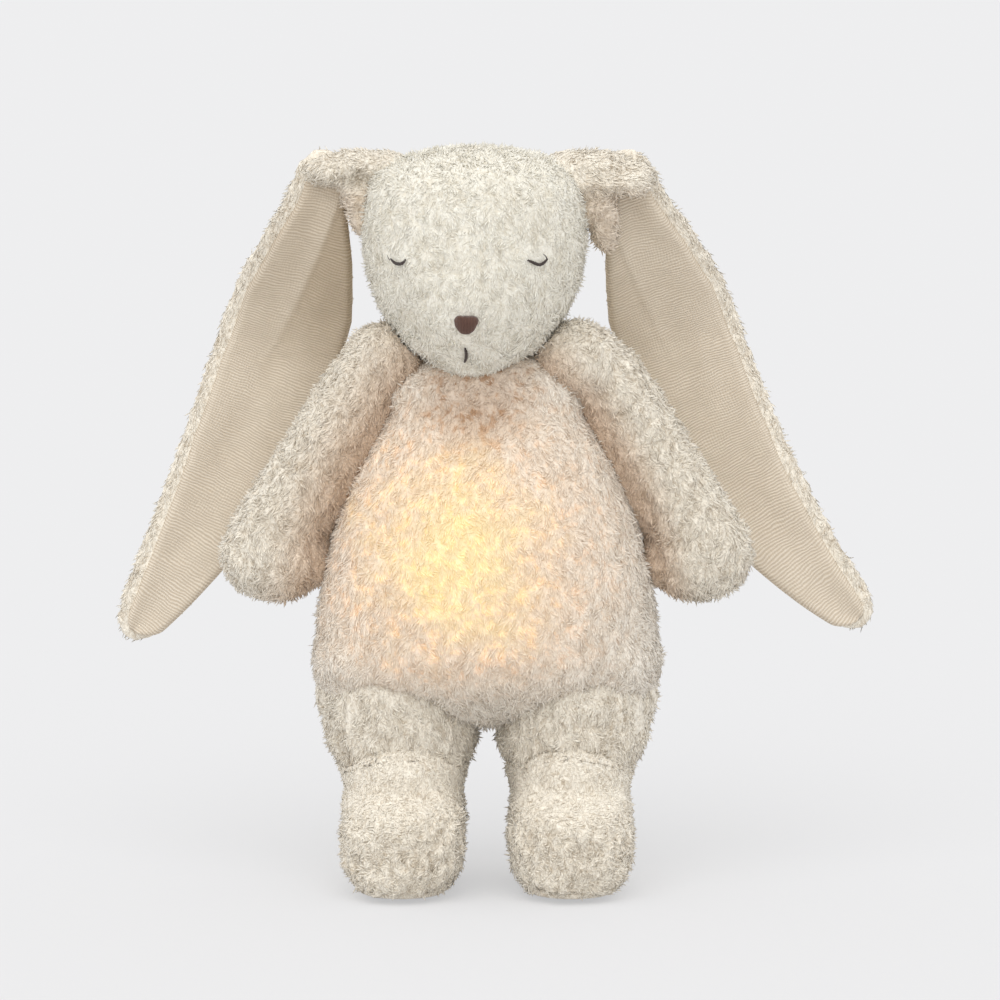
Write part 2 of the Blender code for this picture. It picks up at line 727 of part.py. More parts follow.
# Legs and feet
def leg_outline():
    points = []
    for step in range(LEG_ARC_STEPS + 1):
        turn = math.pi * step / LEG_ARC_STEPS
        points.append((HIP_RADIUS * math.cos(turn), HIP_RADIUS * math.sin(turn)))
    drop = ANKLE_Z - HIP_Z
    for step in range(1, LEG_SHANK_STEPS + 1):
        u = step / LEG_SHANK_STEPS
        points.append((-HIP_RADIUS + (HIP_RADIUS - ANKLE_HALF_DEPTH) * u * u, drop * u))
    for step in range(LEG_SHANK_STEPS, 0, -1):
        u = step / LEG_SHANK_STEPS
        points.append((HIP_RADIUS - (HIP_RADIUS - ANKLE_HALF_DEPTH) * u * u, drop * u))
    return points


def make_legs(toy):
    outline = leg_outline()
    for name, side in SIDES:
        rings = []
        for t in eased(LEG_RINGS):
            u = 2 * t - 1
            shrink = (1 - abs(u) ** LEG_ROUND_POWER) ** (1 / LEG_ROUND_POWER)
            ring = []
            for y, rise in outline if shrink > 0 else [(0, 0)]:
                drop = min(max(-rise / (HIP_Z - ANKLE_Z), 0), 1)
                inner = HIP_INNER_X + (ANKLE_INNER_X - HIP_INNER_X) * drop
                outer = HIP_OUTER_X + (ANKLE_OUTER_X - HIP_OUTER_X) * drop
                below = shrink if rise >= 0 else max(shrink, abs(1 - abs(u)) ** LEG_LOW_ROUND_POWER)
                x = side * (inner + (outer - inner) * t)
                ring.append(Vector((x, y * shrink, HIP_Z + rise * below)))
            rings.append(ring)
        toy.add("leg_" + name, loft(rings), "cream_pile", "leg_" + name)


def make_feet(toy):
    length = FOOT_HEEL_Y - FOOT_TOE_Y
    top = ANKLE_Z - SEAM_GAP
    for name, side in SIDES:
        rings = []
        for t in eased(FOOT_RINGS):
            ends = round_end(min(t, 1 - t) * length, FOOT_ROUND_SHARE * length)
            half_width = FOOT_HALF_WIDTH * share_at(FOOT_WIDTH_SHARES, t) * ends
            height = (top + FOOT_CROWN) * share_at(FOOT_HEIGHT_SHARES, t)
            y = FOOT_HEEL_Y - t * length
            if half_width < SEAM_GAP:
                rings.append([Vector((side * FOOT_X, y, height / 2))])
                continue
            squat = FOOT_END_HEIGHT_SHARE + (1 - FOOT_END_HEIGHT_SHARE) * ends
            half_height = (height + FOOT_SINK) / 2 * squat
            centre = Vector((side * FOOT_X, y, (height - FOOT_SINK) / 2))
            ring = section(centre, Vector((1, 0, 0)), Vector((0, 0, 1)), half_width, half_height,
                           FOOT_SIDES, FOOT_SECTION_POWER)
            for vertex in ring:
                vertex.z = min(max(vertex.z, 0), top)
            rings.append(ring)
        toy.add("foot_" + name, loft(rings), "cream_pile", "leg_" + name)


def make_tail(toy):
    rings = []
    for t in eased(TAIL_RINGS):
        radius = TAIL_RADIUS * math.sqrt(max(0, 1 - (2 * t - 1) ** 2))
        centre = Vector((0, TAIL_Y + TAIL_RADIUS * (2 * t - 1), TAIL_Z))
        if radius < SEAM_GAP:
            rings.append([centre])
        else:
            rings.append(section(centre, Vector((1, 0, 0)), Vector((0, 0, 1)), radius, radius, TAIL_SIDES, 2))
    tail = toy.add("tail", loft(rings), "cream_pile", "toy")
    boolean(tail, toy.helper("torso_cut", loft(torso_rings(SEAM_GAP)), "toy"), "DIFFERENCE")


# Pocket liner, flap and its closure tape
def make_liner(toy):
    outer = pocket_outline(FIT_GAP + LINER_THICKNESS)
    inner = pocket_outline(FIT_GAP)
    front = UNIT_FRONT_Y - LINER_FRONT_GAP
    rings = [at_depth(outer, front - LINER_THICKNESS), at_depth(outer, LINER_MOUTH_Y),
             at_depth(inner, LINER_MOUTH_Y), at_depth(inner, front)]
    toy.add("pocket_liner", loft(rings), "pocket_cloth", "toy")


def flap_half_width(u):
    taper = max(0, (u - 1 + FLAP_TAPER_SHARE) / FLAP_TAPER_SHARE) ** FLAP_TAPER_POWER
    return FLAP_HALF_WIDTH + (FLAP_TOP_HALF_WIDTH - FLAP_HALF_WIDTH) * taper


def back_panel(back, bottom, top, half_width, columns, rows, low, thickness):
    lower, upper = [], []
    for i in range(rows + 1):
        z = bottom + (top - bottom) * i / rows
        xs = [UNIT_X + half_width(i / rows) * (2 * j / columns - 1) for j in range(columns + 1)]
        lower.append([on_surface(back, x, z, 1, low(i / rows)) for x in xs])
        upper.append([on_surface(back, x, z, 1, low(i / rows) + thickness) for x in xs])
    return slab(lower, upper)


def make_closure(toy, back):
    strip_lift = 2 * (STRIP_THICKNESS + SEAM_GAP)
    bottom = FLAP_BOTTOM_Z + SEAM_GAP
    top = bottom + STRIP_HEIGHT
    loop = back_panel(back, bottom, top, lambda u: STRIP_HALF_WIDTH, FLAP_COLUMNS, STRIP_ROWS,
                      lambda u: PANEL_GAP, STRIP_THICKNESS)
    toy.add("loop_strip", loop, "closure_tape", "toy")
    hook = back_panel(back, bottom, top, lambda u: STRIP_HALF_WIDTH, FLAP_COLUMNS, STRIP_ROWS,
                      lambda u: PANEL_GAP + STRIP_THICKNESS + SEAM_GAP, STRIP_THICKNESS)
    toy.add("hook_strip", hook, "closure_tape", "flap")
    flat_share = (2 * STRIP_HEIGHT) / (FLAP_TOP_Z - FLAP_BOTTOM_Z)
    flap = back_panel(back, FLAP_BOTTOM_Z, FLAP_TOP_Z, flap_half_width, FLAP_COLUMNS, FLAP_ROWS,
                      lambda u: PANEL_GAP + strip_lift * min(1, (1 - u) / (1 - flat_share)), FLAP_THICKNESS)
    toy.add("back_flap", flap, "cream_pile", "flap")


# Light unit
def unit_outline(inset):
    radius = max(UNIT_CORNER_RADIUS - inset, UNIT_WALL)
    return rounded_rectangle(UNIT_X, UNIT_Z, UNIT_HALF_WIDTH - inset, UNIT_HALF_HEIGHT - inset, radius)


def corner_places():
    # Each boss melts into the middle of the corner's wall.
    out = (UNIT_CORNER_RADIUS - BOSS_RADIUS - UNIT_WALL / 2) / math.sqrt(2)
    across = UNIT_HALF_WIDTH - UNIT_CORNER_RADIUS + out
    up = UNIT_HALF_HEIGHT - UNIT_CORNER_RADIUS + out
    return [(UNIT_X + a * across, UNIT_Z + b * up) for a in (-1, 1) for b in (-1, 1)]


def button_places():
    z = UNIT_Z + BUTTON_RISE_Z
    return (("power", UNIT_X - BUTTON_SPACING, z), ("timer", UNIT_X + BUTTON_SPACING, z))


def gather(meshes):
    whole = bmesh.new()
    for mesh in meshes:
        data = bpy.data.meshes.new("gathered")
        mesh.to_mesh(data)
        mesh.free()
        whole.from_mesh(data)
        bpy.data.meshes.remove(data)
    return whole


def make_rear_case(toy):
    rings = [
        at_depth(unit_outline(UNIT_EDGE), UNIT_REAR_Y),
        at_depth(unit_outline(0), UNIT_REAR_Y - UNIT_EDGE),
        at_depth(unit_outline(0), UNIT_RIM_Y),
        at_depth(unit_outline(UNIT_WALL), UNIT_RIM_Y),
        at_depth(unit_outline(UNIT_WALL), UNIT_REAR_Y - UNIT_WALL),
    ]
    case = toy.add("rear_case", loft(rings), "white_case", "unit")
    into_wall = UNIT_REAR_Y - UNIT_WALL / 2
    bosses = gather([prism(disc(x, z, BOSS_RADIUS, SMALL_DISC_SIDES), UNIT_RIM_Y, into_wall)
                     for x, z in corner_places()])
    boolean(case, toy.helper("case_bosses", bosses, "unit"), "UNION")
    seat = UNIT_REAR_Y - SCREW_SEAT_DEPTH
    beyond = UNIT_REAR_Y + CUT_OVERRUN
    head_hole = SCREW_HEAD_RADIUS + FIT_GAP
    places = corner_places()
    heads = gather([prism(disc(x, z, head_hole, SMALL_DISC_SIDES), seat, beyond) for x, z in places])
    boolean(case, toy.helper("screw_seats_cut", heads, "unit"), "DIFFERENCE")
    start = UNIT_RIM_Y - CUT_OVERRUN
    bores = gather([prism(disc(x, z, BOSS_BORE_RADIUS, SMALL_DISC_SIDES), start, beyond) for x, z in places])
    boolean(case, toy.helper("screw_bores_cut", bores, "unit"), "DIFFERENCE")
    through = UNIT_REAR_Y - UNIT_WALL - CUT_OVERRUN / 4
    holes = [prism(disc(x, z, BUTTON_RADIUS + FIT_GAP, DISC_SIDES), through, beyond)
             for _, x, z in button_places()]
    slot = rounded_rectangle(UNIT_X, UNIT_Z + BUTTON_RISE_Z, SOCKET_WIDTH / 2 + FIT_GAP,
                             SOCKET_HEIGHT / 2 + FIT_GAP, SOCKET_WIDTH / 2)
    holes.append(prism(slot, through, beyond))
    boolean(case, toy.helper("case_holes_cut", gather(holes), "unit"), "DIFFERENCE")


def make_diffuser(toy):
    rim = UNIT_RIM_Y - SEAM_GAP
    inner_nose = DIFFUSER_NOSE_INSET + UNIT_WALL / 2
    rings = [
        at_depth(unit_outline(DIFFUSER_NOSE_INSET), UNIT_FRONT_Y),
        at_depth(unit_outline((DIFFUSER_NOSE_INSET + DIFFUSER_SHOULDER_INSET) / 2),
                 (UNIT_FRONT_Y * 3 + DIFFUSER_SHOULDER_Y) / 4),
        at_depth(unit_outline(DIFFUSER_SHOULDER_INSET), DIFFUSER_SHOULDER_Y),
        at_depth(unit_outline(0), DIFFUSER_SHOULDER_Y + 2 * DIFFUSER_SHOULDER_INSET),
        at_depth(unit_outline(0), rim),
        at_depth(unit_outline(UNIT_WALL), rim),
        at_depth(unit_outline(UNIT_WALL), DIFFUSER_SHOULDER_Y + 2 * DIFFUSER_SHOULDER_INSET),
        at_depth(unit_outline(DIFFUSER_SHOULDER_INSET + UNIT_WALL), DIFFUSER_SHOULDER_Y),
        at_depth(unit_outline(inner_nose), UNIT_FRONT_Y + UNIT_WALL),
    ]
    diffuser = toy.add("front_diffuser", loft(rings), "opal_diffuser", "unit")
    posts = gather([prism(disc(x, z, BOSS_RADIUS, SMALL_DISC_SIDES), rim - DIFFUSER_POST_LENGTH, rim)
                    for x, z in corner_places()])
    boolean(diffuser, toy.helper("diffuser_posts", posts, "unit"), "UNION")
    depth = rim - DIFFUSER_POST_LENGTH + UNIT_WALL / 2
    bores = gather([prism(disc(x, z, BOSS_BORE_RADIUS, SMALL_DISC_SIDES), depth, rim + CUT_OVERRUN)
                    for x, z in corner_places()])
    boolean(diffuser, toy.helper("post_bores_cut", bores, "unit"), "DIFFERENCE")


def make_screws(toy):
    seat = UNIT_REAR_Y - SCREW_SEAT_DEPTH + SEAM_GAP
    shaft_radius = BOSS_BORE_RADIUS - SEAM_GAP
    for number, (x, z) in enumerate(corner_places(), 1):
        shaft = disc(x, z, shaft_radius, SMALL_DISC_SIDES)
        head = disc(x, z, SCREW_HEAD_RADIUS, SMALL_DISC_SIDES)
        screw = loft([at_depth(shaft, UNIT_RIM_Y - SCREW_BELOW_RIM), at_depth(shaft, seat),
                      at_depth(head, seat), at_depth(head, seat + SCREW_HEAD_HEIGHT)])
        toy.add(f"case_screw_{number}", screw, "screw_steel", "unit")


def make_board(toy):
    inset = UNIT_WALL + BOARD_CLEARANCE
    board = toy.add("circuit_board", prism(unit_outline(inset), BOARD_REAR_Y - BOARD_THICKNESS, BOARD_REAR_Y),
                    "green_board", "unit", smooth=False)
    room = BOSS_RADIUS + FIT_GAP
    low, high = BOARD_REAR_Y - CUT_OVERRUN, BOARD_REAR_Y + CUT_OVERRUN
    cuts = gather([prism(disc(x, z, room, SMALL_DISC_SIDES), low, high) for x, z in corner_places()])
    boolean(board, toy.helper("board_corner_cut", cuts, "unit"), "DIFFERENCE")
    front = BOARD_REAR_Y - BOARD_THICKNESS - SEAM_GAP
    places = [(i, j) for i in range(LED_COLUMNS) for j in range(LED_ROWS)]
    for number, (i, j) in enumerate(places, 1):
        x = UNIT_X + (i - (LED_COLUMNS - 1) / 2) * LED_PITCH
        z = UNIT_Z + (j - (LED_ROWS - 1) / 2) * LED_PITCH
        diode = prism(rectangle(x, z, LED_WIDTH / 2, LED_HEIGHT / 2), front - LED_THICKNESS, front)
        toy.add(f"light_diode_{number}", diode, "warm_led", "unit", smooth=False)


def make_battery(toy):
    rear = UNIT_REAR_Y - UNIT_WALL - SEAM_GAP
    front = rear - BATTERY_THICKNESS
    z = UNIT_Z - BATTERY_DROP
    cell = rounded_rectangle(UNIT_X, z, BATTERY_WIDTH / 2, BATTERY_HEIGHT / 2, UNIT_WALL)
    toy.add("battery_cell", prism(cell, front, rear), "battery_wrap", "unit")
    pad = rectangle(UNIT_X, z, PAD_WIDTH / 2, PAD_HEIGHT / 2)
    foam = prism(pad, BOARD_REAR_Y + SEAM_GAP, front - SEAM_GAP)
    toy.add("battery_pad", foam, "foam_pad", "unit", smooth=False)
    # Two leads arch from the top edge of the cell to the board.
    edge = z + BATTERY_HEIGHT / 2 + SEAM_GAP
    start = Vector((0, (front + rear) / 2, edge))
    end = Vector((0, BOARD_REAR_Y + SEAM_GAP, edge + LEAD_RISE))
    for name, side in (("plus", -1), ("minus", 1)):
        shift = Vector((UNIT_X + side * LEAD_SPACING / 2, 0, 0))
        points = []
        for i in range(LEAD_POINTS):
            turn = math.pi / 2 * i / (LEAD_POINTS - 1)
            y = start.y + (end.y - start.y) * (1 - math.cos(turn))
            points.append(Vector((0, y, start.z + (end.z - start.z) * math.sin(turn))) + shift)
        toy.add("battery_lead_" + name, tube(points, LEAD_RADIUS, LEAD_SIDES), "lead_" + name, "unit")


def make_controls(toy):
    base = BOARD_REAR_Y + SEAM_GAP
    body_top = base + SWITCH_BODY_HEIGHT
    plunger_top = body_top + SWITCH_PLUNGER_HEIGHT
    stem_end = plunger_top + BUTTON_TRAVEL + SEAM_GAP
    inside = UNIT_REAR_Y - UNIT_WALL - SEAM_GAP
    for name, x, z in button_places():
        square = rectangle(x, z, SWITCH_WIDTH / 2, SWITCH_WIDTH / 2)
        body = prism(square, base, body_top)
        switch = toy.add(name + "_switch", body, "switch_black", "unit", smooth=False)
        round_top = disc(x, z, SWITCH_PLUNGER_RADIUS, SMALL_DISC_SIDES)
        plunger = prism(round_top, body_top - SWITCH_PLUNGER_HEIGHT, plunger_top)
        boolean(switch, toy.helper(name + "_switch_plunger", plunger, "unit"), "UNION")
        stem = disc(x, z, BUTTON_STEM_RADIUS, DISC_SIDES)
        flange = disc(x, z, BUTTON_RADIUS + BUTTON_FLANGE, DISC_SIDES)
        cap = disc(x, z, BUTTON_RADIUS, DISC_SIDES)
        dome = disc(x, z, BUTTON_RADIUS - BUTTON_PROUD / 2, DISC_SIDES)
        rings = [at_depth(stem, stem_end), at_depth(stem, inside - BUTTON_FLANGE_THICKNESS),
                 at_depth(flange, inside - BUTTON_FLANGE_THICKNESS), at_depth(flange, inside),
                 at_depth(cap, inside), at_depth(cap, UNIT_REAR_Y + BUTTON_PROUD / 2),
                 at_depth(dome, UNIT_REAR_Y + BUTTON_PROUD)]
        toy.add(name + "_button", loft(rings), "button_rubber", name + "_button")


def make_socket(toy):
    z = UNIT_Z + BUTTON_RISE_Z
    base = BOARD_REAR_Y + SEAM_GAP
    mouth = UNIT_REAR_Y - SEAM_GAP
    shell = rounded_rectangle(UNIT_X, z, SOCKET_WIDTH / 2, SOCKET_HEIGHT / 2,
                              SOCKET_WIDTH / 2 - SOCKET_WALL / 4)
    socket = toy.add("charging_socket", prism(shell, base, mouth), "socket_steel", "unit")
    hollow = rounded_rectangle(UNIT_X, z, SOCKET_WIDTH / 2 - SOCKET_WALL, SOCKET_HEIGHT / 2 - SOCKET_WALL,
                               SOCKET_WIDTH / 2 - 2 * SOCKET_WALL)
    room = prism(hollow, mouth - SOCKET_DEPTH, mouth + CUT_OVERRUN)
    boolean(socket, toy.helper("socket_hollow_cut", room, "unit"), "DIFFERENCE")
    tongue = rectangle(UNIT_X, z, SOCKET_TONGUE_WIDTH / 2, SOCKET_TONGUE_HEIGHT / 2)
    inner = prism(tongue, mouth - SOCKET_DEPTH - SOCKET_WALL, mouth - 2 * SOCKET_WALL)
    boolean(socket, toy.helper("socket_tongue", inner, "unit"), "UNION")


def box_middle():
    # The origin lies on the floor under the middle of the whole toy.
    xs = [point.x for name, side in SIDES for ring in ear_rings(name, side) for point in ring]
    tail_back = TAIL_Y + TAIL_RADIUS
    return Vector(((min(xs) + max(xs)) / 2, (tail_back + FOOT_TOE_Y) / 2, 0))


def add_pivots(toy, back):
    toy.add_pivot("toy", (0, 0, 0))
    toy.empties["toy"].location = -box_middle()
    toy.add_pivot("head", (HEAD_OFFSET_X, 0, NECK_Z), "toy")
    for name, side in SIDES:
        toy.add_pivot("ear_" + name, ear_hinge(side), "head")
        toy.add_pivot("arm_" + name, shoulder(side), "toy")
        toy.add_pivot("leg_" + name, (side * FOOT_X, 0, HIP_Z), "toy")
    edge = on_surface(back, 0, FLAP_TOP_Z, 1, PANEL_GAP + FLAP_THICKNESS)
    edge.x = UNIT_X
    toy.add_pivot("flap", edge, "toy")
    toy.add_pivot("unit", (UNIT_X, UNIT_REAR_Y, UNIT_Z), "toy")
    for name, x, z in button_places():
        toy.add_pivot(name + "_button", (x, UNIT_REAR_Y, z), "unit")


def main():
    clear_scene()
    toy = Toy()
    back = surface_of(torso_rings())
    face = surface_of(head_rings())
    add_pivots(toy, back)
    make_torso(toy)
    make_head(toy)
    make_face(toy, face)
    make_ears(toy)
    make_arms(toy)
    make_legs(toy)
    make_feet(toy)
    make_tail(toy)
    make_liner(toy)
    make_closure(toy, back)
    make_rear_case(toy)
    make_diffuser(toy)
    make_screws(toy)
    make_board(toy)
    make_battery(toy)
    make_controls(toy)
    make_socket(toy)


main()
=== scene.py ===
import json
import math

import bmesh
import bpy
import numpy as np
from mathutils import Matrix, Vector, noise
from mathutils.bvhtree import BVHTree

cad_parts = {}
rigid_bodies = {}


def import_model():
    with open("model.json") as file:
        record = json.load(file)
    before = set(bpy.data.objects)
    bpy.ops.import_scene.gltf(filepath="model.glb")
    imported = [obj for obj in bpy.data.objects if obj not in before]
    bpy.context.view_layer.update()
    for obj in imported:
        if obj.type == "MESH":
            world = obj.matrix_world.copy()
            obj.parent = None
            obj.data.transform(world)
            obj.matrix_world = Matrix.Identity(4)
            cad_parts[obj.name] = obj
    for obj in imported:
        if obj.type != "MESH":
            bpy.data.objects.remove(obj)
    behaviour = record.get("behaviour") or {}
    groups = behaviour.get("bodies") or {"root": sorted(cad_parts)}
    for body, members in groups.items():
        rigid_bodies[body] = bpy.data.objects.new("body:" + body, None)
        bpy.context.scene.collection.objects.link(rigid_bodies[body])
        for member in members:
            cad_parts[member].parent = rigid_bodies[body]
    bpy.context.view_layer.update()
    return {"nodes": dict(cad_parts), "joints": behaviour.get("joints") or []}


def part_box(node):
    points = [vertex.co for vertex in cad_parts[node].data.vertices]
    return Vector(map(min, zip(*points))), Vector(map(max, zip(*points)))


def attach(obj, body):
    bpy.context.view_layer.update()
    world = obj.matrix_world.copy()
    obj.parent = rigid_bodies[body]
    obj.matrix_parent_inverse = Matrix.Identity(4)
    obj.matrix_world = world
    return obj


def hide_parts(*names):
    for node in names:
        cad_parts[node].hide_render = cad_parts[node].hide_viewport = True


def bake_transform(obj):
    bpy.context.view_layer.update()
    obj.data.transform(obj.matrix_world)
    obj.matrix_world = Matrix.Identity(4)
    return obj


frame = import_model()
nodes = frame["nodes"]
hinges = {joint["name"]: joint.get("pos_m") for joint in frame["joints"]}
sides = {"left": -1, "right": 1}
middleX = (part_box("foot_left")[0].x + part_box("foot_right")[1].x) / 2
middleY = (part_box("leg_left")[0].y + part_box("leg_left")[1].y) / 2


# The camera looks slightly down at the toy, from the photograph's angle.
cameraSetup = {
    "distance": 1.9,
    "elevation": math.radians(7),
    "aimHeight": 0.161,
    "aimSide": 0.0055,
    "viewWidth": 0.42,
    "imageSize": 1000,
    "sensor": 36.0,
}
tilt = cameraSetup["elevation"]
aim = Vector((middleX + cameraSetup["aimSide"], middleY, cameraSetup["aimHeight"]))
cameraBack = Vector((0, -math.cos(tilt), math.sin(tilt)))
cameraUp = Vector((0, math.sin(tilt), math.cos(tilt)))
cameraPlace = aim + cameraBack * cameraSetup["distance"]


def makeCamera():
    lens = bpy.data.cameras.new("photoCamera")
    lens.sensor_width = cameraSetup["sensor"]
    lens.lens = cameraSetup["sensor"] * cameraSetup["distance"] / cameraSetup["viewWidth"]
    camera = bpy.data.objects.new("photoCamera", lens)
    bpy.context.scene.collection.objects.link(camera)
    camera.location = cameraPlace
    camera.rotation_mode = "QUATERNION"
    camera.rotation_quaternion = (-cameraBack).to_track_quat("-Z", "Y")
    bpy.context.scene.camera = camera


def photoPoint(surface, column, row):
    # Where the sight line through a pixel of the photograph meets a surface.
    pixel = cameraSetup["viewWidth"] / cameraSetup["imageSize"]
    half = cameraSetup["imageSize"] / 2
    target = aim + Vector((1, 0, 0)) * (column - half) * pixel + cameraUp * (half - row) * pixel
    hit, normal, _, _ = surface.ray_cast(cameraPlace, (target - cameraPlace).normalized())
    return hit, normal


def photoPath(surface, pixels):
    hits = [photoPoint(surface, column, row)[0] for column, row in pixels]
    return [hit for hit in hits if hit is not None]


makeCamera()
print("camera stands", [round(v, 3) for v in cameraPlace])


class Wire:
    # One output socket; arithmetic on it adds Math nodes.
    def __init__(self, bench, socket):
        self.bench = bench
        self.socket = socket

    def math(self, operation, *others):
        values = {i + 1: other for i, other in enumerate(others)}
        return self.bench.node("ShaderNodeMath", {"operation": operation}, {0: self, **values})

    def __add__(self, other):
        return self.math("ADD", other)

    __radd__ = __add__

    def __mul__(self, other):
        return self.math("MULTIPLY", other)

    __rmul__ = __mul__

    def __sub__(self, other):
        return self.math("SUBTRACT", other)

    def __rsub__(self, other):
        return (self * -1) + other

    def __truediv__(self, other):
        return self.math("DIVIDE", other)

    def __rtruediv__(self, other):
        return (self ** -1) * other

    def __pow__(self, other):
        return self.math("POWER", other)


class Bench:
    # A node tree with one method for every node: its settings first, then its inputs.
    def __init__(self, tree):
        self.tree = tree

    def node(self, kind, settings=None, values=None, output=0):
        made = self.tree.nodes.new(kind)
        for key, value in (settings or {}).items():
            setattr(made, key, value)
        for key, value in (values or {}).items():
            if isinstance(value, Wire):
                self.tree.links.new(value.socket, made.inputs[key])
            else:
                made.inputs[key].default_value = value
        return Wire(self, made.outputs[output]) if made.outputs else made

    def mixColour(self, factor, first, second, blend="MIX"):
        settings = {"data_type": "RGBA", "blend_type": blend}
        colours = [c if isinstance(c, Wire) else (*c, 1) for c in (first, second)]
        return self.node("ShaderNodeMix", settings, {0: factor, 6: colours[0], 7: colours[1]}, 2)

    def smooth(self, value, low, high):
        settings = {"interpolation_type": "SMOOTHSTEP"}
        return self.node("ShaderNodeMapRange", settings, {0: value, 1: low, 2: high, 3: 0.0, 4: 1.0})

    def noise(self, place, pitch, detail=2.0, roughness=0.5, output=0):
        values = {"Vector": place, "Scale": 1 / pitch, "Detail": detail, "Roughness": roughness}
        return self.node("ShaderNodeTexNoise", {}, values, output)

    def vector(self, operation, *values):
        # Vector Math; SCALE takes a vector and a number.
        slots = (0, 3) if operation == "SCALE" else (0, 1, 2)
        output = 1 if operation in ("DISTANCE", "DOT_PRODUCT") else 0
        return self.node("ShaderNodeVectorMath", {"operation": operation}, dict(zip(slots, values)), output)

    def split(self, vector):
        return [self.node("ShaderNodeSeparateXYZ", {}, {0: vector}, i) for i in range(3)]

    def place(self):
        return self.node("ShaderNodeTexCoord", output=3)

    def attribute(self, name):
        return self.node("ShaderNodeAttribute", {"attribute_name": name}, {}, 2)

    def bump(self, height, distance, strength=1.0):
        return self.node("ShaderNodeBump", {}, {"Height": height, "Distance": distance, "Strength": strength})

    def named(self, name, kind="FLOAT"):
        return self.node("GeometryNodeInputNamedAttribute", {"data_type": kind}, {"Name": name})

    def store(self, geometry, name, value, kind="FLOAT", domain="INSTANCE"):
        settings = {"data_type": kind, "domain": domain}
        values = {"Geometry": geometry, "Name": name, "Value": value}
        return self.node("GeometryNodeStoreNamedAttribute", settings, values)

    def random(self, low, high, seed):
        return self.node("FunctionNodeRandomValue", {"data_type": "FLOAT"}, {2: low, 3: high, "Seed": seed}, 1)


def newMaterial(name, constants=None):
    material = bpy.data.materials.new(name)
    material.use_nodes = True
    shader = material.node_tree.nodes["Principled BSDF"]
    for key, value in (constants or {}).items():
        shader.inputs[key].default_value = value
    return material, Bench(material.node_tree), shader


def plug(bench, shader, links):
    for key, wire in links.items():
        bench.tree.links.new(wire.socket, shader.inputs[key])


# Studio: one pale floor out to the horizon, a white sky and a broad soft key lamp.
studio = {
    "floorRadius": 40.0,
    "floorSegments": 64,
    "floorColour": (0.690, 0.690, 0.698),
    "floorSeen": (0.862, 0.862, 0.870),
    "floorGlow": 0.55,
    "skyStrength": 0.92,
    "skySeen": 0.868,
    "keyStrength": 1.15,
    "keyAngle": math.radians(60),
    "keyTilt": (math.radians(32), 0, math.radians(-12)),
}


def makeStudio():
    scene = bpy.context.scene
    scene.view_settings.view_transform = "Standard"
    world = bpy.data.worlds.new("studioSky")
    world.use_nodes = True
    scene.world = world
    background = world.node_tree.nodes["Background"]
    background.inputs["Color"].default_value = (1, 1, 1, 1)
    seen = Bench(world.node_tree).node("ShaderNodeLightPath")
    strength = seen * (studio["skySeen"] - studio["skyStrength"]) + studio["skyStrength"]
    world.node_tree.links.new(strength.socket, background.inputs["Strength"])
    mesh = bmesh.new()
    bmesh.ops.create_circle(mesh, cap_ends=True, segments=studio["floorSegments"], radius=studio["floorRadius"])
    data = bpy.data.meshes.new("studioFloor")
    mesh.to_mesh(data)
    mesh.free()
    floor = bpy.data.objects.new("studioFloor", data)
    scene.collection.objects.link(floor)
    material, bench, shader = newMaterial("studioFloor", {
        "Roughness": 1.0, "Specular IOR Level": 0.0, "Base Color": (*studio["floorColour"], 1)})
    bright = bench.node("ShaderNodeEmission", {}, {"Color": (*studio["floorSeen"], 1), "Strength": 1.0})
    seen = bench.node("ShaderNodeLightPath") * studio["floorGlow"]
    mixed = bench.node("ShaderNodeMixShader", {}, {0: seen, 1: Wire(bench, shader.outputs[0]), 2: bright})
    bench.tree.links.new(mixed.socket, bench.tree.nodes["Material Output"].inputs["Surface"])
    data.materials.append(material)
    lamp = bpy.data.lights.new("keyLamp", "SUN")
    lamp.energy = studio["keyStrength"]
    lamp.angle = studio["keyAngle"]
    key = bpy.data.objects.new("keyLamp", lamp)
    key.rotation_euler = studio["keyTilt"]
    scene.collection.objects.link(key)


makeStudio()
print("studio is lit")


# Belly lamp: where its glow shows through the pile, and its colours; also the painted glow and painted shade put
# into the fabric's colour around it.
glow = {
    "centre": (middleX - 0.0125, middleY, 0.1450),
    "reach": (0.046, 0.049),
    "core": (1.0, 0.69, 0.13),
    "edge": (1.0, 0.42, 0.08),
    "strength": 0.33,
    "frontDepth": 0.025,
    "bottom": (0.074, 0.098),
    "coreRange": (0.05, 1.15),
    "haloRange": (0.60, 2.00),
    # Painted glow: the lamp's light laid into the fabric's base colour in the halo and the core.
    "coreFabric": (0.93, 0.77, 0.48),
    "haloFabric": (0.93, 0.75, 0.57),
    # Painted warm shade: the glow's spill and the shade on the limbs near the torso and under the ear tops.
    "warm": (0.80, 0.58, 0.44),
    # Painted shade under the chin, tinted by the glow.
    "chinCentre": (middleX - 0.0050, middleY - 0.0280, 0.2110),
    "chinReach": 0.0280,
    "chinFabric": (0.40, 0.22, 0.11),
}

# The tip colour is the pile's own; the root colour is painted shade deep in the pile, and gaps is how strong the
# painted shade in the gaps between locks is.
pileColours = {
    "head": {"tip": (1.0, 0.968, 0.868), "root": (0.73, 0.65, 0.50), "gaps": 0.42},
    "body": {"tip": (0.980, 0.920, 0.820), "root": (0.54, 0.42, 0.30), "gaps": 0.62},
    "limb": {"tip": (1.0, 0.935, 0.812), "root": (0.48, 0.38, 0.26), "gaps": 0.66},
}


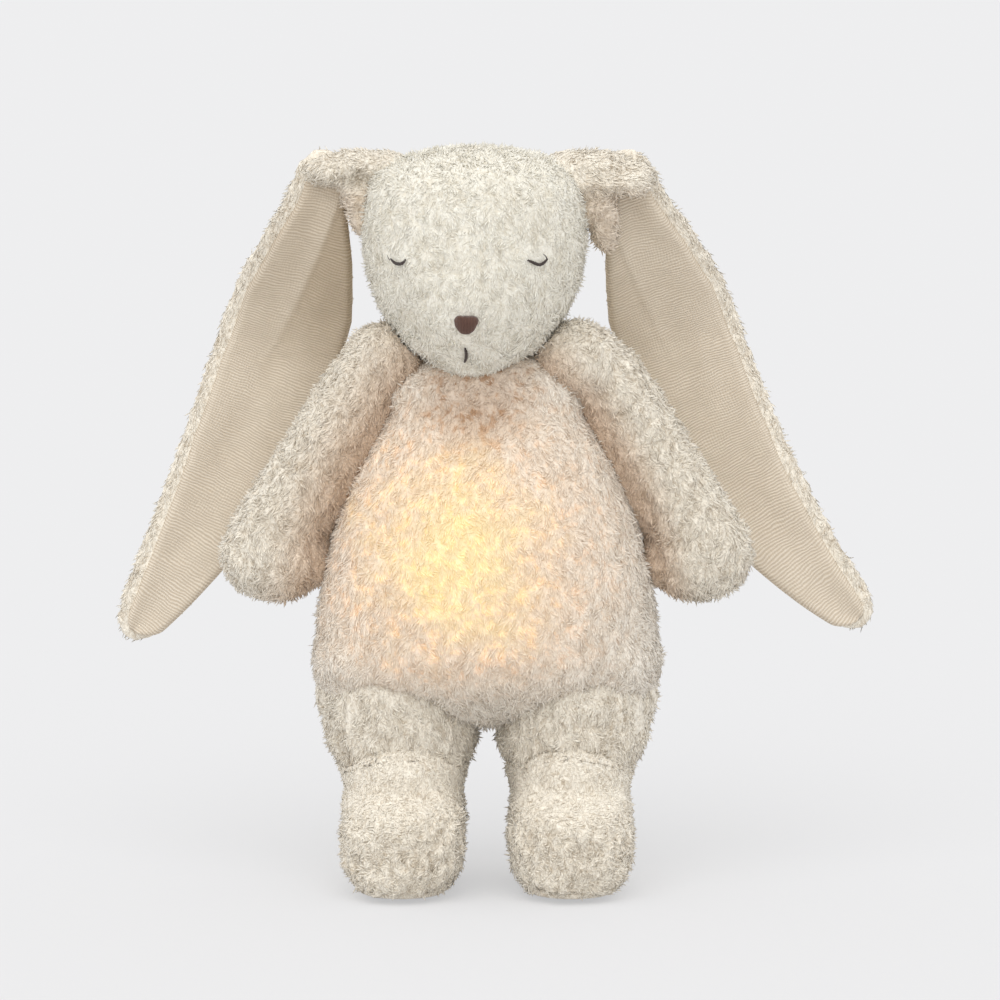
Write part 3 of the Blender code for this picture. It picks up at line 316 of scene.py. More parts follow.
def addGlow(bench, place, mat):
    # The lamp's light in the pile: strongest near the roots and broken up by the tufts.
    x, y, z = bench.split(place)
    across = (x - glow["centre"][0]) / glow["reach"][0]
    up = (z - glow["centre"][2]) / glow["reach"][1]
    ragged = bench.noise(place, 0.022, 4.0, 0.7) * 1.5 - 0.75
    distance = (across * across + up * up) ** 0.5
    front = bench.smooth(y * -1, 0.0, glow["frontDepth"]) * bench.smooth(z, *glow["bottom"])
    core = (1 - bench.smooth(distance + ragged, *glow["coreRange"])) * front
    halo = (1 - bench.smooth(distance + ragged * 0.5, *glow["haloRange"])) * front
    spots = bench.smooth(bench.noise(place, 0.0045, 2.0, 0.6), 0.50, 0.66)
    deep = 1.15 - mat * 0.3
    colour = bench.mixColour(core, glow["edge"], glow["core"])
    # Painted shade under the chin: a speckled mask around chinCentre, which also dims the glow there.
    offset = bench.vector("DISTANCE", place, glow["chinCentre"])
    near, far = (glow["chinReach"] * share for share in (0.35, 1.30))
    under = (1 - bench.smooth(offset + ragged * 0.012, near, far)) * (spots * 0.55 + 0.45)
    power = (core * (0.40 + spots * 0.30) + halo * (0.18 + spots * 0.52)) * deep * (1 - under * 0.7)
    return bench.mixColour(power, (0, 0, 0), colour), halo, core, under


def pileMaterial(zone, kind):
    # Tufts carry a rise from root to tip and a shade of their own; the skin under them has fine hairs. Both get
    # painted shade in the matted crevices and in the gaps between locks, and the tufts also get it towards their
    # roots.
    material, bench, shader = newMaterial(zone + kind, {
        "Roughness": 1.0, "Specular IOR Level": 0.1, "Sheen Weight": 0.35, "Sheen Roughness": 0.5})
    colours = pileColours[zone]
    place = bench.place()
    patches = bench.smooth(bench.noise(place, 0.018, 3.0, 0.6), 0.3, 0.7)
    mat = bench.attribute("mat")
    curl = bench.noise(place, 0.0060, 2.0, 0.5, output=1)
    bent = bench.vector("MULTIPLY_ADD", curl, (0.0090, 0.0090, 0.0090), place)
    strokes = bench.vector("MULTIPLY", bent, (1.0, 1.0, 0.32))
    # Painted shade: short curved gaps between the locks, with finer streaks.
    crossing = (bench.noise(strokes, 0.0025, 1.5, 0.5) - 0.5).math("ABSOLUTE")
    broken = bench.smooth(bench.noise(place, 0.0065, 2.0, 0.6), 0.40, 0.60)
    streaks = bench.smooth(bench.noise(strokes, 0.0010, 1.0, 0.5), 0.34, 0.56)
    gaps = (1 - (1 - bench.smooth(crossing, 0.000, 0.042)) * broken) * (streaks * 0.22 + 0.78)
    links = {}
    if kind == "Pile":
        # Painted shade towards each tuft's root.
        tone = bench.smooth(bench.attribute("rise"), -0.75, 0.50) * (0.90 + bench.attribute("shade") * 0.10)
    else:
        hairs = bench.noise(strokes, 0.0010, 2.0, 0.55)
        tone = bench.smooth(hairs, 0.30, 0.62) * 0.32 + 0.68
        links["Normal"] = bench.bump(hairs, 0.0011, 0.9)
    # Painted shade in the crevices of the matted relief; the patches vary the tone at random.
    tone = tone * (bench.smooth(mat, 0.05, 0.45) * 0.30 + 0.70) * (0.90 + patches * 0.10)
    tone = tone * (gaps * colours["gaps"] + (1 - colours["gaps"]))
    # From painted shade at the root colour up to the tip colour.
    base = bench.mixColour(tone, colours["root"], colours["tip"])
    if zone == "body":
        light, halo, core, under = addGlow(bench, place, mat)
        # Painted glow in the base colour around the lamp, and painted shade under the chin.
        base = bench.mixColour(halo * 0.55, base, glow["haloFabric"])
        base = bench.mixColour(core * 0.7, base, glow["coreFabric"])
        base = bench.mixColour(under * 0.85, base, glow["chinFabric"])
        shader.inputs["Emission Strength"].default_value = glow["strength"]
        links["Emission Color"] = light
    else:
        # Painted warm shade, multiplied in where warmth is set.
        base = bench.mixColour(bench.attribute("warmth") * 0.60, base, glow["warm"], "MULTIPLY")
    links["Base Color"] = base
    plug(bench, shader, links)
    return material


materials = {zone + kind: pileMaterial(zone, kind) for zone in pileColours for kind in ("Skin", "Pile")}


# Skins: the sewn shell of each stuffed part, taken from its solid, rounded and softened.
skinSetup = {"voxel": 0.0020, "smoothing": 8, "mergeDistance": 0.00001}


def meshOf(piece):
    mesh = bmesh.new()
    mesh.from_mesh(piece.data)
    return mesh


def putBack(mesh, piece):
    mesh.to_mesh(piece.data)
    mesh.free()


def mergedCopy(name):
    mesh = meshOf(nodes[name])
    bmesh.ops.remove_doubles(mesh, verts=mesh.verts, dist=skinSetup["mergeDistance"])
    return mesh


def newObject(name, mesh, material=None):
    data = bpy.data.meshes.new(name)
    piece = bpy.data.objects.new(name, data)
    if isinstance(mesh, bmesh.types.BMesh):
        putBack(mesh, piece)
    else:
        data.from_pydata(*mesh)
    bpy.context.scene.collection.objects.link(piece)
    if material:
        data.materials.append(material)
    return piece


def applyModifiers(piece):
    # Keeps what the modifiers make as a plain mesh and drops them.
    bpy.context.view_layer.update()
    evaluated = piece.evaluated_get(bpy.context.evaluated_depsgraph_get())
    data = bpy.data.meshes.new_from_object(evaluated)
    old = piece.data
    piece.modifiers.clear()
    piece.data = data
    bpy.data.meshes.remove(old)
    data.name = piece.name


def points(piece, key="co"):
    flat = np.zeros(len(piece.data.vertices) * 3, np.float32)
    piece.data.vertices.foreach_get(key, flat)
    return flat.reshape(-1, 3).astype(float)


def normals(piece):
    return points(piece, "normal")


def setPoints(piece, places):
    piece.data.vertices.foreach_set("co", np.asarray(places, np.float32).ravel())
    piece.data.update()


def setAttribute(piece, name, values):
    kind = "FLOAT_VECTOR" if values.ndim == 2 else "FLOAT"
    attribute = piece.data.attributes.get(name) or piece.data.attributes.new(name, kind, "POINT")
    attribute.data.foreach_set("vector" if values.ndim == 2 else "value", values.astype(np.float32).ravel())


def dropAttributes(piece, *names):
    for name in names:
        piece.data.attributes.remove(piece.data.attributes[name])


def surfaceOf(piece):
    mesh = meshOf(piece)
    tree = BVHTree.FromBMesh(mesh)
    mesh.free()
    return tree


def ramp(values, low, high):
    t = np.clip((np.asarray(values) - low) / (high - low), 0, 1)
    return t * t * (3 - 2 * t)


def blob(mesh, centre, radii, turn=0.0):
    # An egg-shaped lump of filling, turned about the front-to-back axis.
    place = Matrix.Translation(centre) @ Matrix.Rotation(turn, 4, "Y") @ Matrix.Diagonal((*radii, 1))
    bmesh.ops.create_icosphere(mesh, subdivisions=4, radius=1, matrix=place)


def makeSkin(name, mesh, material, voxel=skinSetup["voxel"], smoothing=skinSetup["smoothing"]):
    piece = newObject(name, mesh, material)
    remesh = piece.modifiers.new("voxels", "REMESH")
    remesh.mode = "VOXEL"
    remesh.voxel_size = voxel
    applyModifiers(piece)
    soft = meshOf(piece)
    axes = {"use_axis_x": True, "use_axis_y": True, "use_axis_z": True}
    for _ in range(smoothing):
        bmesh.ops.smooth_vert(soft, verts=soft.verts, factor=0.5, **axes)
    putBack(soft, piece)
    piece.data.shade_smooth()
    return piece


def groove(piece, path, width, depth):
    # Presses a sewn crease into a skin along a path of points, and returns how close each point is to it.
    places = points(piece)
    path = np.array(path, float)
    nearest = np.full(len(places), 1.0)
    for a, b in zip(path[:-1], path[1:]):
        along = np.clip(((places - a) @ (b - a)) / ((b - a) @ (b - a)), 0, 1)
        nearest = np.minimum(nearest, np.linalg.norm(places - a - along[:, None] * (b - a), axis=1))
    press = 1 - ramp(nearest, 0, width)
    setPoints(piece, places - normals(piece) * (press * depth)[:, None])
    return press


# Pile: tufts of twisted fibre that lie on a skin and bunch together.
tuftSetup = {
    "sides": 3,
    "kinds": 6,
    "seed": 11,
    "rings": ((0.0, 0.40), (0.55, 0.5)),
    "sink": 0.10,
    "crowding": 1.6,
    "softShare": 0.36,
}


def ringFaces(start, rings, count):
    # Quads between rings of points that follow each other.
    return [(a + k, a + (k + 1) % count, a + (k + 1) % count + count, a + k + count)
            for a in range(start, start + (rings - 1) * count, count) for k in range(count)]


def makeTuft(name, rng):
    # One closed blunt fibre bundle of unit length and width that leans and curls as it rises.
    sides, rings, sink = (tuftSetup[key] for key in ("sides", "rings", "sink"))
    turn = rng.uniform(0, 2 * math.pi)
    lean = Vector((math.cos(turn), math.sin(turn), 0)) * rng.uniform(0.0, 0.3)
    curl, width, flat = rng.uniform(-0.5, 0.5), rng.uniform(0.85, 1.15), rng.uniform(0.5, 0.8)
    verts, rises = [], []
    for i, (t, share) in enumerate(rings):
        centre = Vector((lean.x * t + curl * t * t, lean.y * t, t - sink))
        for k in range(sides):
            turn = 2 * math.pi * (k / sides + 0.12 * i)
            verts.append(centre + Vector((math.cos(turn), flat * math.sin(turn), 0)) * width * share)
            rises.append(t)
    verts.append(Vector((lean.x + curl, lean.y, 1 - sink)))
    rises.append(1.0)
    last = (len(rings) - 1) * sides
    faces = ringFaces(0, len(rings), sides)
    faces += [(last + k, last + (k + 1) % sides, len(verts) - 1) for k in range(sides)]
    faces.append(tuple(reversed(range(sides))))
    tuft = newObject(name, (verts, [], faces))
    setAttribute(tuft, "rise", np.array(rises))
    return tuft


def makeTuftKinds():
    collection = bpy.data.collections.new("tuftKinds")
    rng = np.random.default_rng(tuftSetup["seed"])
    for kind in range(tuftSetup["kinds"]):
        tuft = makeTuft(f"tuftKind{kind}", rng)
        bpy.context.scene.collection.objects.unlink(tuft)
        collection.objects.link(tuft)
    return collection


def newTree(name, inputs):
    # A Geometry Nodes tree with named inputs, its bench and a way to reach each input.
    tree = bpy.data.node_groups.new(name, "GeometryNodeTree")
    tree.interface.new_socket("Geometry", in_out="OUTPUT", socket_type="NodeSocketGeometry")
    for key, kind in {"Geometry": "Geometry", **inputs}.items():
        tree.interface.new_socket(key, in_out="INPUT", socket_type="NodeSocket" + kind)
    bench = Bench(tree)
    group = tree.nodes.new("NodeGroupInput")
    return bench, lambda key: Wire(bench, group.outputs[key])


def endTree(bench, last):
    output = bench.tree.nodes.new("NodeGroupOutput")
    bench.tree.links.new(last.socket, output.inputs["Geometry"])
    return bench.tree


def setInputs(modifier, values):
    for item in modifier.node_group.interface.items_tree:
        if item.in_out == "INPUT" and item.name in values:
            modifier[item.identifier] = values[item.name]


def makeMatTree():
    # Matted relief of a pile: a finer mesh, raised in soft clumps that short crevices part.
    bench, given = newTree("matPile", {"Depth": "Float", "Clump": "Float", "Seed": "Float"})
    clump = given("Clump")
    fine = bench.node("GeometryNodeSubdivisionSurface", {}, {"Mesh": given("Geometry"), "Level": 1})
    position = bench.node("GeometryNodeInputPosition")
    cloud = bench.node("ShaderNodeTexNoise", {"noise_dimensions": "4D"},
                       {"Vector": position, "W": given("Seed"), "Scale": 0.8 / clump, "Detail": 1.0}, 1)
    bent = bench.vector("ADD", position, bench.vector("SCALE", cloud, clump * 1.6))
    bent = bench.vector("MULTIPLY", bent, (1.0, 1.0, 0.42))
    cells = bench.node("ShaderNodeTexVoronoi", {"feature": "SMOOTH_F1", "voronoi_dimensions": "3D"},
                       {"Vector": bent, "Scale": 1 / clump, "Smoothness": 0.35})
    curls = bench.node("ShaderNodeTexNoise", {}, {"Vector": bent, "Scale": 2.2 / clump, "Detail": 1.0})
    height = (1 - bench.smooth(cells, 0.15, 0.75)) * 0.62 + bench.smooth(curls, 0.3, 0.7) * 0.38
    relief = bench.named("relief")
    normal = bench.node("GeometryNodeInputNormal")
    lift = bench.vector("SCALE", normal, (height - 0.6) * given("Depth") * relief)
    raised = bench.node("GeometryNodeSetPosition", {}, {"Geometry": fine, "Offset": lift})
    # The height is kept as mat, which the pile materials use for painted shade in the crevices and for the glow's
    # depth.
    kept = bench.store(raised, "mat", 1 - (1 - height) * relief, domain="POINT")
    return endTree(bench, bench.node("GeometryNodeSetShadeSmooth", {}, {"Geometry": kept}))


def makePileTree():
    # Strands on a skin: they follow its comb, lie in bunches and stray a little.
    numbers = ("Spacing", "Length", "Width", "Upright", "Bunching", "Bunch Size", "Scatter", "Roll")
    bench, given = newTree("growPile", {**dict.fromkeys(numbers, "Float"), "Seed": "Int", "Material": "Material"})
    seed, spacing = given("Seed"), given("Spacing")
    density = bench.node("ShaderNodeMath", {"operation": "DIVIDE"}, {0: tuftSetup["crowding"], 1: spacing * spacing})
    grown = bench.node("GeometryNodeDistributePointsOnFaces", {"distribute_method": "POISSON"}, {
        "Mesh": given("Geometry"), "Distance Min": spacing, "Density Max": density,
        "Density Factor": bench.named("pile"), "Seed": seed})
    normal = Wire(bench, grown.socket.node.outputs["Normal"])
    position = bench.node("GeometryNodeInputPosition")
    cloud = bench.node("ShaderNodeTexNoise", {},
                       {"Vector": position, "Scale": 1 / given("Bunch Size"), "Detail": 1.5}, 1)
    bunch = bench.vector("SCALE", bench.vector("SUBTRACT", cloud, (0.5, 0.5, 0.5)), given("Bunching") * 4)
    stray = bench.node("FunctionNodeRandomValue", {"data_type": "FLOAT_VECTOR"},
                       {0: (-1, -1, -1), 1: (1, 1, 1), "Seed": seed})
    direction = bench.vector("ADD", bench.named("comb", "FLOAT_VECTOR"), bunch)
    direction = bench.vector("ADD", direction, bench.vector("SCALE", stray, given("Scatter")))
    rising = bench.vector("DOT_PRODUCT", direction, normal)
    flat = bench.vector("SUBTRACT", direction, bench.vector("SCALE", normal, rising))
    direction = bench.vector("ADD", flat, bench.vector("SCALE", normal, given("Upright")))
    turned = bench.node("FunctionNodeAlignRotationToVector", {"axis": "Z"}, {"Vector": direction})
    turned = bench.node("FunctionNodeAlignRotationToVector", {"axis": "Y", "pivot_axis": "Z"},
                        {"Rotation": turned, "Vector": normal})
    spin = bench.node("ShaderNodeCombineXYZ", {}, {2: bench.random(given("Roll") * -1, given("Roll"), seed + 7)})
    spin = bench.node("FunctionNodeEulerToRotation", {}, {0: spin})
    turned = bench.node("FunctionNodeRotateRotation", {"rotation_space": "LOCAL"}, {0: turned, 1: spin})
    size = bench.random(0.7, 1.3, seed + 3)
    tall = size * given("Length") * bench.named("depth")
    wide = (size * 0.5 + 0.5) * given("Width")
    kinds = bench.node("GeometryNodeCollectionInfo", {}, {
        "Collection": tuftKinds, "Separate Children": True, "Reset Children": True})
    planted = bench.node("GeometryNodeInstanceOnPoints", {}, {
        "Points": grown, "Instance": kinds, "Pick Instance": True, "Rotation": turned,
        "Scale": bench.node("ShaderNodeCombineXYZ", {}, {0: wide, 1: wide, 2: tall})})
    planted = bench.store(planted, "shade", bench.random(0.0, 1.0, seed + 19))
    planted = bench.store(planted, "facing", normal, "FLOAT_VECTOR")
    real = bench.node("GeometryNodeRealizeInstances", {}, {"Geometry": planted})
    values = {"Geometry": real, "Material": given("Material")}
    return endTree(bench, bench.node("GeometryNodeSetMaterial", {}, values))


tuftKinds = makeTuftKinds()
matTree = makeMatTree()
pileTree = makePileTree()

pileSizes = ("Spacing", "Length", "Width", "Upright", "Bunching", "Bunch Size", "Scatter", "Roll", "Depth", "Clump")
pileLooks = {
    "head": (0.00105, 0.0029, 0.00062, 0.16, 0.42, 0.008, 0.18, 0.6, 0.0010, 0.0036),
    "body": (0.00115, 0.0030, 0.00070, 0.17, 0.45, 0.009, 0.18, 0.6, 0.0013, 0.0038),
    "limb": (0.00110, 0.0030, 0.00070, 0.18, 0.50, 0.008, 0.20, 0.7, 0.0020, 0.0042),
    "toes": (0.00105, 0.0027, 0.00074, 0.18, 0.60, 0.006, 0.30, 0.8, 0.0030, 0.0050),
    "ear": (0.00115, 0.0028, 0.00070, 0.17, 0.50, 0.007, 0.20, 0.6, 0.0015, 0.0042),
    "flap": (0.00115, 0.0030, 0.00070, 0.20, 0.45, 0.009, 0.20, 0.6, 0.0008, 0.0038),
    "tail": (0.00110, 0.0042, 0.00085, 0.6, 0.45, 0.008, 0.3, 3.0, 0.0018, 0.0050),
    "hooks": (0.0012, 0.0008, 0.00035, 3.0, 0.1, 0.01, 0.1, 3.0),
    "loops": (0.0010, 0.0009, 0.00050, 0.5, 0.8, 0.004, 0.8, 3.0),
}
pileLooks = {look: dict(zip(pileSizes, sizes)) for look, sizes in pileLooks.items()}
pileMarks = ("comb", "depth", "pile", "relief")


def growPile(name, skin, material, settings, seed, keep=None):
    # Grows tufts on a skin and returns them as one plain mesh.
    piece = bpy.data.objects.new(name, skin.data.copy())
    bpy.context.scene.collection.objects.link(piece)
    if keep is not None:
        held = np.zeros(len(keep), np.float32)
        piece.data.attributes["pile"].data.foreach_get("value", held)
        setAttribute(piece, "pile", held * keep)
    grow = piece.modifiers.new("pile", "NODES")
    grow.node_group = pileTree
    setInputs(grow, {**settings, "Seed": seed, "Material": material})
    applyModifiers(piece)
    piece.data.shade_smooth()
    facing = np.zeros(len(piece.data.vertices) * 3, np.float32)
    piece.data.attributes["facing"].data.foreach_get("vector", facing)
    mixed = normals(piece) * (1 - tuftSetup["softShare"]) + facing.reshape(-1, 3) * tuftSetup["softShare"]
    mixed /= np.linalg.norm(mixed, axis=1)[:, None]
    piece.data.normals_split_custom_set_from_vertices(mixed.tolist())
    dropAttributes(piece, "facing", *pileMarks)
    piece.data.calc_loop_triangles()
    print(name, len(piece.data.loop_triangles), "triangles")
    return piece


def closeness(places, neighbour, reach):
    # How far each place is from a neighbour's surface, up to reach, and below zero inside it.
    mesh = mergedCopy(neighbour) if isinstance(neighbour, str) else meshOf(neighbour)
    tree = BVHTree.FromBMesh(mesh)
    corners = np.array([vert.co for vert in mesh.verts])
    mesh.free()
    low, high = corners.min(axis=0) - reach, corners.max(axis=0) + reach
    near = np.all((places > low) & (places < high), axis=1)
    found = np.full(len(places), reach)
    for i in np.nonzero(near)[0]:
        place = Vector(places[i])
        hit, normal, _, distance = tree.find_nearest(place)
        inside = (place - hit).dot(normal) < 0
        found[i] = -distance if inside else min(distance, reach)
    return found


def preparePile(skin, neighbours, clear=-0.0010, near=0.0040, comb=(0, 0, -0.3), depth=1.0, keep=1.0, relief=1.0):
    # Marks where tufts grow, which way they lie and how long they are.
    places, outward = points(skin), normals(skin)
    closest = np.full(len(places), near)
    for neighbour in neighbours:
        closest = np.minimum(closest, closeness(places, neighbour, near))
    shelter = ramp(closest, 0, near)
    lie = np.broadcast_to(np.asarray(comb, float), places.shape)
    lie = lie - outward * np.sum(outward * lie, axis=1)[:, None]
    setAttribute(skin, "pile", (closest > clear).astype(float) * keep)
    setAttribute(skin, "comb", lie)
    setAttribute(skin, "depth", (0.35 + 0.65 * shelter) * depth)
    setAttribute(skin, "relief", shelter * relief)


def dress(skin, body, replaced, zone, seed, look=None, halves=False):
    # Gives a skin its matted surface and its pile, as one piece or as a front and a back one.
    stem = skin.name.replace("Skin", "Pile")
    material, settings = materials[zone + "Pile"], pileLooks[look or zone]
    matting = skin.modifiers.new("matting", "NODES")
    matting.node_group = matTree
    setInputs(matting, {"Depth": settings["Depth"], "Clump": settings["Clump"], "Seed": seed * 1.7})
    applyModifiers(skin)
    if halves:
        front = points(skin)[:, 1] < middleY
        piles = [growPile(stem + "_front", skin, material, settings, seed, front.astype(float)),
                 growPile(stem + "_back", skin, material, settings, seed + 1, (~front).astype(float))]
    else:
        piles = [growPile(stem, skin, material, settings, seed)]
    dropAttributes(skin, *pileMarks)
    for piece in [skin] + piles:
        if isinstance(body, str):
            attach(piece, body)
        else:
            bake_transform(piece)
    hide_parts(replaced)


# Head: a stuffed shell in two halves, sewn together down the middle of the face.
headSetup = {
    "seam": ((466, 152), (465, 200), (462, 250), (459, 290), (460, 312)),
    "seamWidth": 0.0035,
    "seamDepth": 0.0010,
    "chinHeight": 0.0125,
    "chinRise": 0.0100,
    "chinHalfWidth": 0.0280,
    "chinFront": (-0.030, 0.000),
    "chinDrop": 0.0040,
    "chinDropWidth": 0.0170,
}


def shapeChin(head):
    # Rounds the jaw up to both sides and lets the chin hang a little in front.
    places = points(head)
    low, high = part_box("head")
    across = places[:, 0] - (low.x / 2 + high.x / 2)
    under = 1 - ramp(places[:, 2], low.z, low.z + headSetup["chinHeight"])
    places[:, 2] += under * headSetup["chinRise"] * (across / headSetup["chinHalfWidth"]) ** 2
    front = 1 - ramp(places[:, 1], *headSetup["chinFront"])
    places[:, 2] -= under * front * headSetup["chinDrop"] * np.exp(-(across / headSetup["chinDropWidth"]) ** 2)
    setPoints(head, places)


threadNodes = ["nose_embroidery", "mouth_stitch", "eye_stitch_left", "eye_stitch_right"]
headSkin = makeSkin("headSkin", mergedCopy("head"), materials["headSkin"])
shapeChin(headSkin)
seamPath = photoPath(surfaceOf(headSkin), headSetup["seam"])
seam = groove(headSkin, seamPath, headSetup["seamWidth"], headSetup["seamDepth"])
headTree = surfaceOf(headSkin)
preparePile(headSkin, threadNodes, clear=0.0008, comb=(0, 0, -0.15), depth=1 - seam * 0.5)
dress(headSkin, "head", "head", "head", 1, halves=True)
print("head is dressed")


# Face: closed eyes, nose and mouth in brown embroidery thread, at the places that the photograph shows.
# Every stitch has its column and row in the photograph and its share of the thread's full thickness.
faceSetup = {
    "lift": 0.0012,
    "threadColour": (0.055, 0.036, 0.030),
    "noseColour": (0.118, 0.054, 0.037),
    "noseCentre": (466.2, 324.4),
    "noseOutline": ((-11.6, -5.6), (-9.6, -8.2), (-5, -8.8), (0, -8.6), (5, -8.8), (9.6, -8.2), (11.9, -5.6),
                    (11.0, -2.2), (8.8, 1.8), (6.0, 5.0), (3.2, 6.6), (0, 7.0), (-3.2, 6.6), (-6.0, 5.0),
                    (-8.8, 1.8), (-10.8, -2.2)),
    "noseRings": ((1.0, -0.0012), (1.0, 0.0006), (0.95, 0.0013), (0.80, 0.0019), (0.55, 0.0023), (0.28, 0.0025)),
    "noseSteps": 3,
    "stitches": {
        "eyeStitch_left": (((392.6, 258.2, 0.5), (395.0, 261.0, 1.0), (398.0, 263.0, 1.15),
                            (401.5, 263.6, 1.15), (404.6, 262.4, 1.05), (407.2, 259.2, 0.6)),
                           ((391.8, 259.8, 0.35), (390.4, 257.4, 0.28), (389.6, 254.8, 0.18))),
        "eyeStitch_right": (((526.4, 259.9, 0.6), (530.0, 261.4, 1.0), (534.0, 263.2, 1.15),
                             (538.2, 264.2, 1.15), (542.2, 262.4, 1.1), (545.8, 258.4, 0.7)),
                            ((545.2, 259.6, 0.45), (544.4, 256.4, 0.42), (541.8, 253.8, 0.25))),
        "mouthStitch": (((465.2, 346.4, 0.8), (466.2, 350.0, 1.05), (466.5, 354.0, 1.1), (466.0, 357.4, 1.0),
                         (464.8, 360.4, 0.6)),),
    },
    "threadRadius": 0.00060,
    "threadSides": 8,
    "threadSteps": 5,
}


def threadMaterial(name, colour, pitch, turned):
    # Satin stitch: rows of fine strands lying side by side.
    material, bench, shader = newMaterial(name, {"Roughness": 0.6, "Sheen Weight": 0.25, "Specular IOR Level": 0.3})
    place = bench.place()
    x, y, z = bench.split(place)
    wobble = bench.noise(place, 0.002, 2.0) * 0.0006
    along = x * math.cos(turned) + z * math.sin(turned) + wobble
    ridge = (along * (2 * math.pi / pitch)).math("SINE") * 0.5 + 0.5
    shade = bench.noise(place, 0.0008, 2.0)
    dark, light = (tuple(min(1, c * share) for c in colour) for share in (0.55, 1.35))
    base = bench.mixColour(ridge * 0.6 + shade * 0.4, dark, light)
    plug(bench, shader, {"Base Color": base, "Normal": bench.bump(ridge, 0.0002)})
    return material


materials["eyeThread"] = threadMaterial("eyeThread", faceSetup["threadColour"], 0.0005, math.radians(35))
materials["noseThread"] = threadMaterial("noseThread", faceSetup["noseColour"], 0.0006, 0.0)


def smoothPath(stations, steps):
    # A rounded path through stations.
    rounded = []
    count = len(stations)
    for i in range(count - 1):
        a, b = stations[max(i - 1, 0)], stations[i]
        c, d = stations[i + 1], stations[min(i + 2, count - 1)]
        for k in range(steps):
            t = k / steps
            rounded.append(0.5 * (2 * b + (c - a) * t + (2 * a - 5 * b + 4 * c - d) * t * t
                                  + (3 * b - a - 3 * c + d) * t ** 3))
    rounded.append(stations[-1])
    return rounded


def tubeFaces(start, rings, count):
    last = start + (rings - 1) * count
    caps = [tuple(reversed(range(start, start + count))), tuple(range(last, last + count))]
    return ringFaces(start, rings, count) + caps


def addThread(verts, faces, stations):
    # One closed thread laid on the head, thicker where the stitches pile up.
    path = smoothPath([np.array(station, float) for station in stations], faceSetup["threadSteps"])
    count = faceSetup["threadSides"]
    faces += tubeFaces(len(verts), len(path), count)
    placed = [photoPoint(headTree, column, row) for column, row, _ in path]
    centres = [hit + normal * faceSetup["lift"] for hit, normal in placed]
    for i, (centre, station) in enumerate(zip(centres, path)):
        forward = (centres[min(i + 1, len(path) - 1)] - centres[max(i - 1, 0)]).normalized()
        out = placed[i][1]
        side = forward.cross(out).normalized()
        radius = faceSetup["threadRadius"] * station[2] * (1 + 0.08 * math.sin(i * 2.1))
        for k in range(count):
            turn = 2 * math.pi * k / count
            verts.append(centre + (side * math.cos(turn) + out * 0.8 * math.sin(turn)) * radius)


def faceOutwards(piece):
    mesh = meshOf(piece)
    bmesh.ops.recalc_face_normals(mesh, faces=mesh.faces)
    putBack(mesh, piece)
    piece.data.shade_smooth()


def finishFace(piece, node):
    faceOutwards(piece)
    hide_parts(node)
    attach(piece, "head")


def makeNose():
    column, row = faceSetup["noseCentre"]
    outline = [np.array(place, float) for place in faceSetup["noseOutline"]]
    outline = smoothPath(outline + outline[:1], faceSetup["noseSteps"])[:-1]
    verts = []
    for share, height in faceSetup["noseRings"]:
        for x, y in outline:
            hit, normal = photoPoint(headTree, column + x * share, row + y * share)
            verts.append(hit + normal * (height + faceSetup["lift"]))
    faces = tubeFaces(0, len(faceSetup["noseRings"]), len(outline))
    finishFace(newObject("nosePad", (verts, [], faces), materials["noseThread"]), "nose_embroidery")


makeNose()
for name, threads in faceSetup["stitches"].items():
    verts, faces = [], []
    for stations in threads:
        addThread(verts, faces, stations)
    finishFace(newObject(name, (verts, [], faces), materials["eyeThread"]), name.replace("Stitch", "_stitch"))
print("face is sewn")


# Torso: pear-shaped, filled out where the head sits on it, with creases where the legs start.
torsoSetup = {
    "voxel": 0.0021,
    "creases": (((338, 688), (360, 694), (400, 705), (440, 716), (470, 724)),
                ((520, 732), (560, 736), (600, 732), (640, 722))),
    "creaseWidth": 0.0050,
    "creaseDepth": 0.0012,
    "lumps": (
        ((0.0000, -0.0010, 0.2050), (0.0430, 0.0315, 0.0205), 0),
        ((-0.0545, 0.0000, 0.0930), (0.0190, 0.0400, 0.0240), 0),
        ((0.0545, 0.0000, 0.0930), (0.0190, 0.0400, 0.0240), 0),
        ((-0.0170, -0.0080, 0.0870), (0.0360, 0.0380, 0.0165), 24),
        ((0.0170, -0.0080, 0.0855), (0.0360, 0.0380, 0.0165), -12),
    ),
    "under": (0.074, 0.102, 0.12),
    "neighbours": ["head", "pocket_liner", "back_flap", "leg_left", "leg_right", "arm_left", "arm_right", "tail"],
}
mesh = mergedCopy("torso")
for (x, y, z), radii, degrees in torsoSetup["lumps"]:
    blob(mesh, (middleX + x, y, z), radii, math.radians(degrees))
torsoSkin = makeSkin("torsoSkin", mesh, materials["bodySkin"], torsoSetup["voxel"])
places = points(torsoSkin)
low, high, share = torsoSetup["under"]
places[:, 1] -= (places[:, 1] - middleY) * share * (1 - ramp(places[:, 2], low, high))
setPoints(torsoSkin, places)
torsoTree = surfaceOf(torsoSkin)
crease = 0
for line in torsoSetup["creases"]:
    path = photoPath(torsoTree, line)
    crease = np.maximum(crease, groove(torsoSkin, path, torsoSetup["creaseWidth"], torsoSetup["creaseDepth"]))
preparePile(torsoSkin, torsoSetup["neighbours"], depth=1 - crease * 0.3)
dress(torsoSkin, "body", "torso", "body", 3, halves=True)
print("torso is dressed")


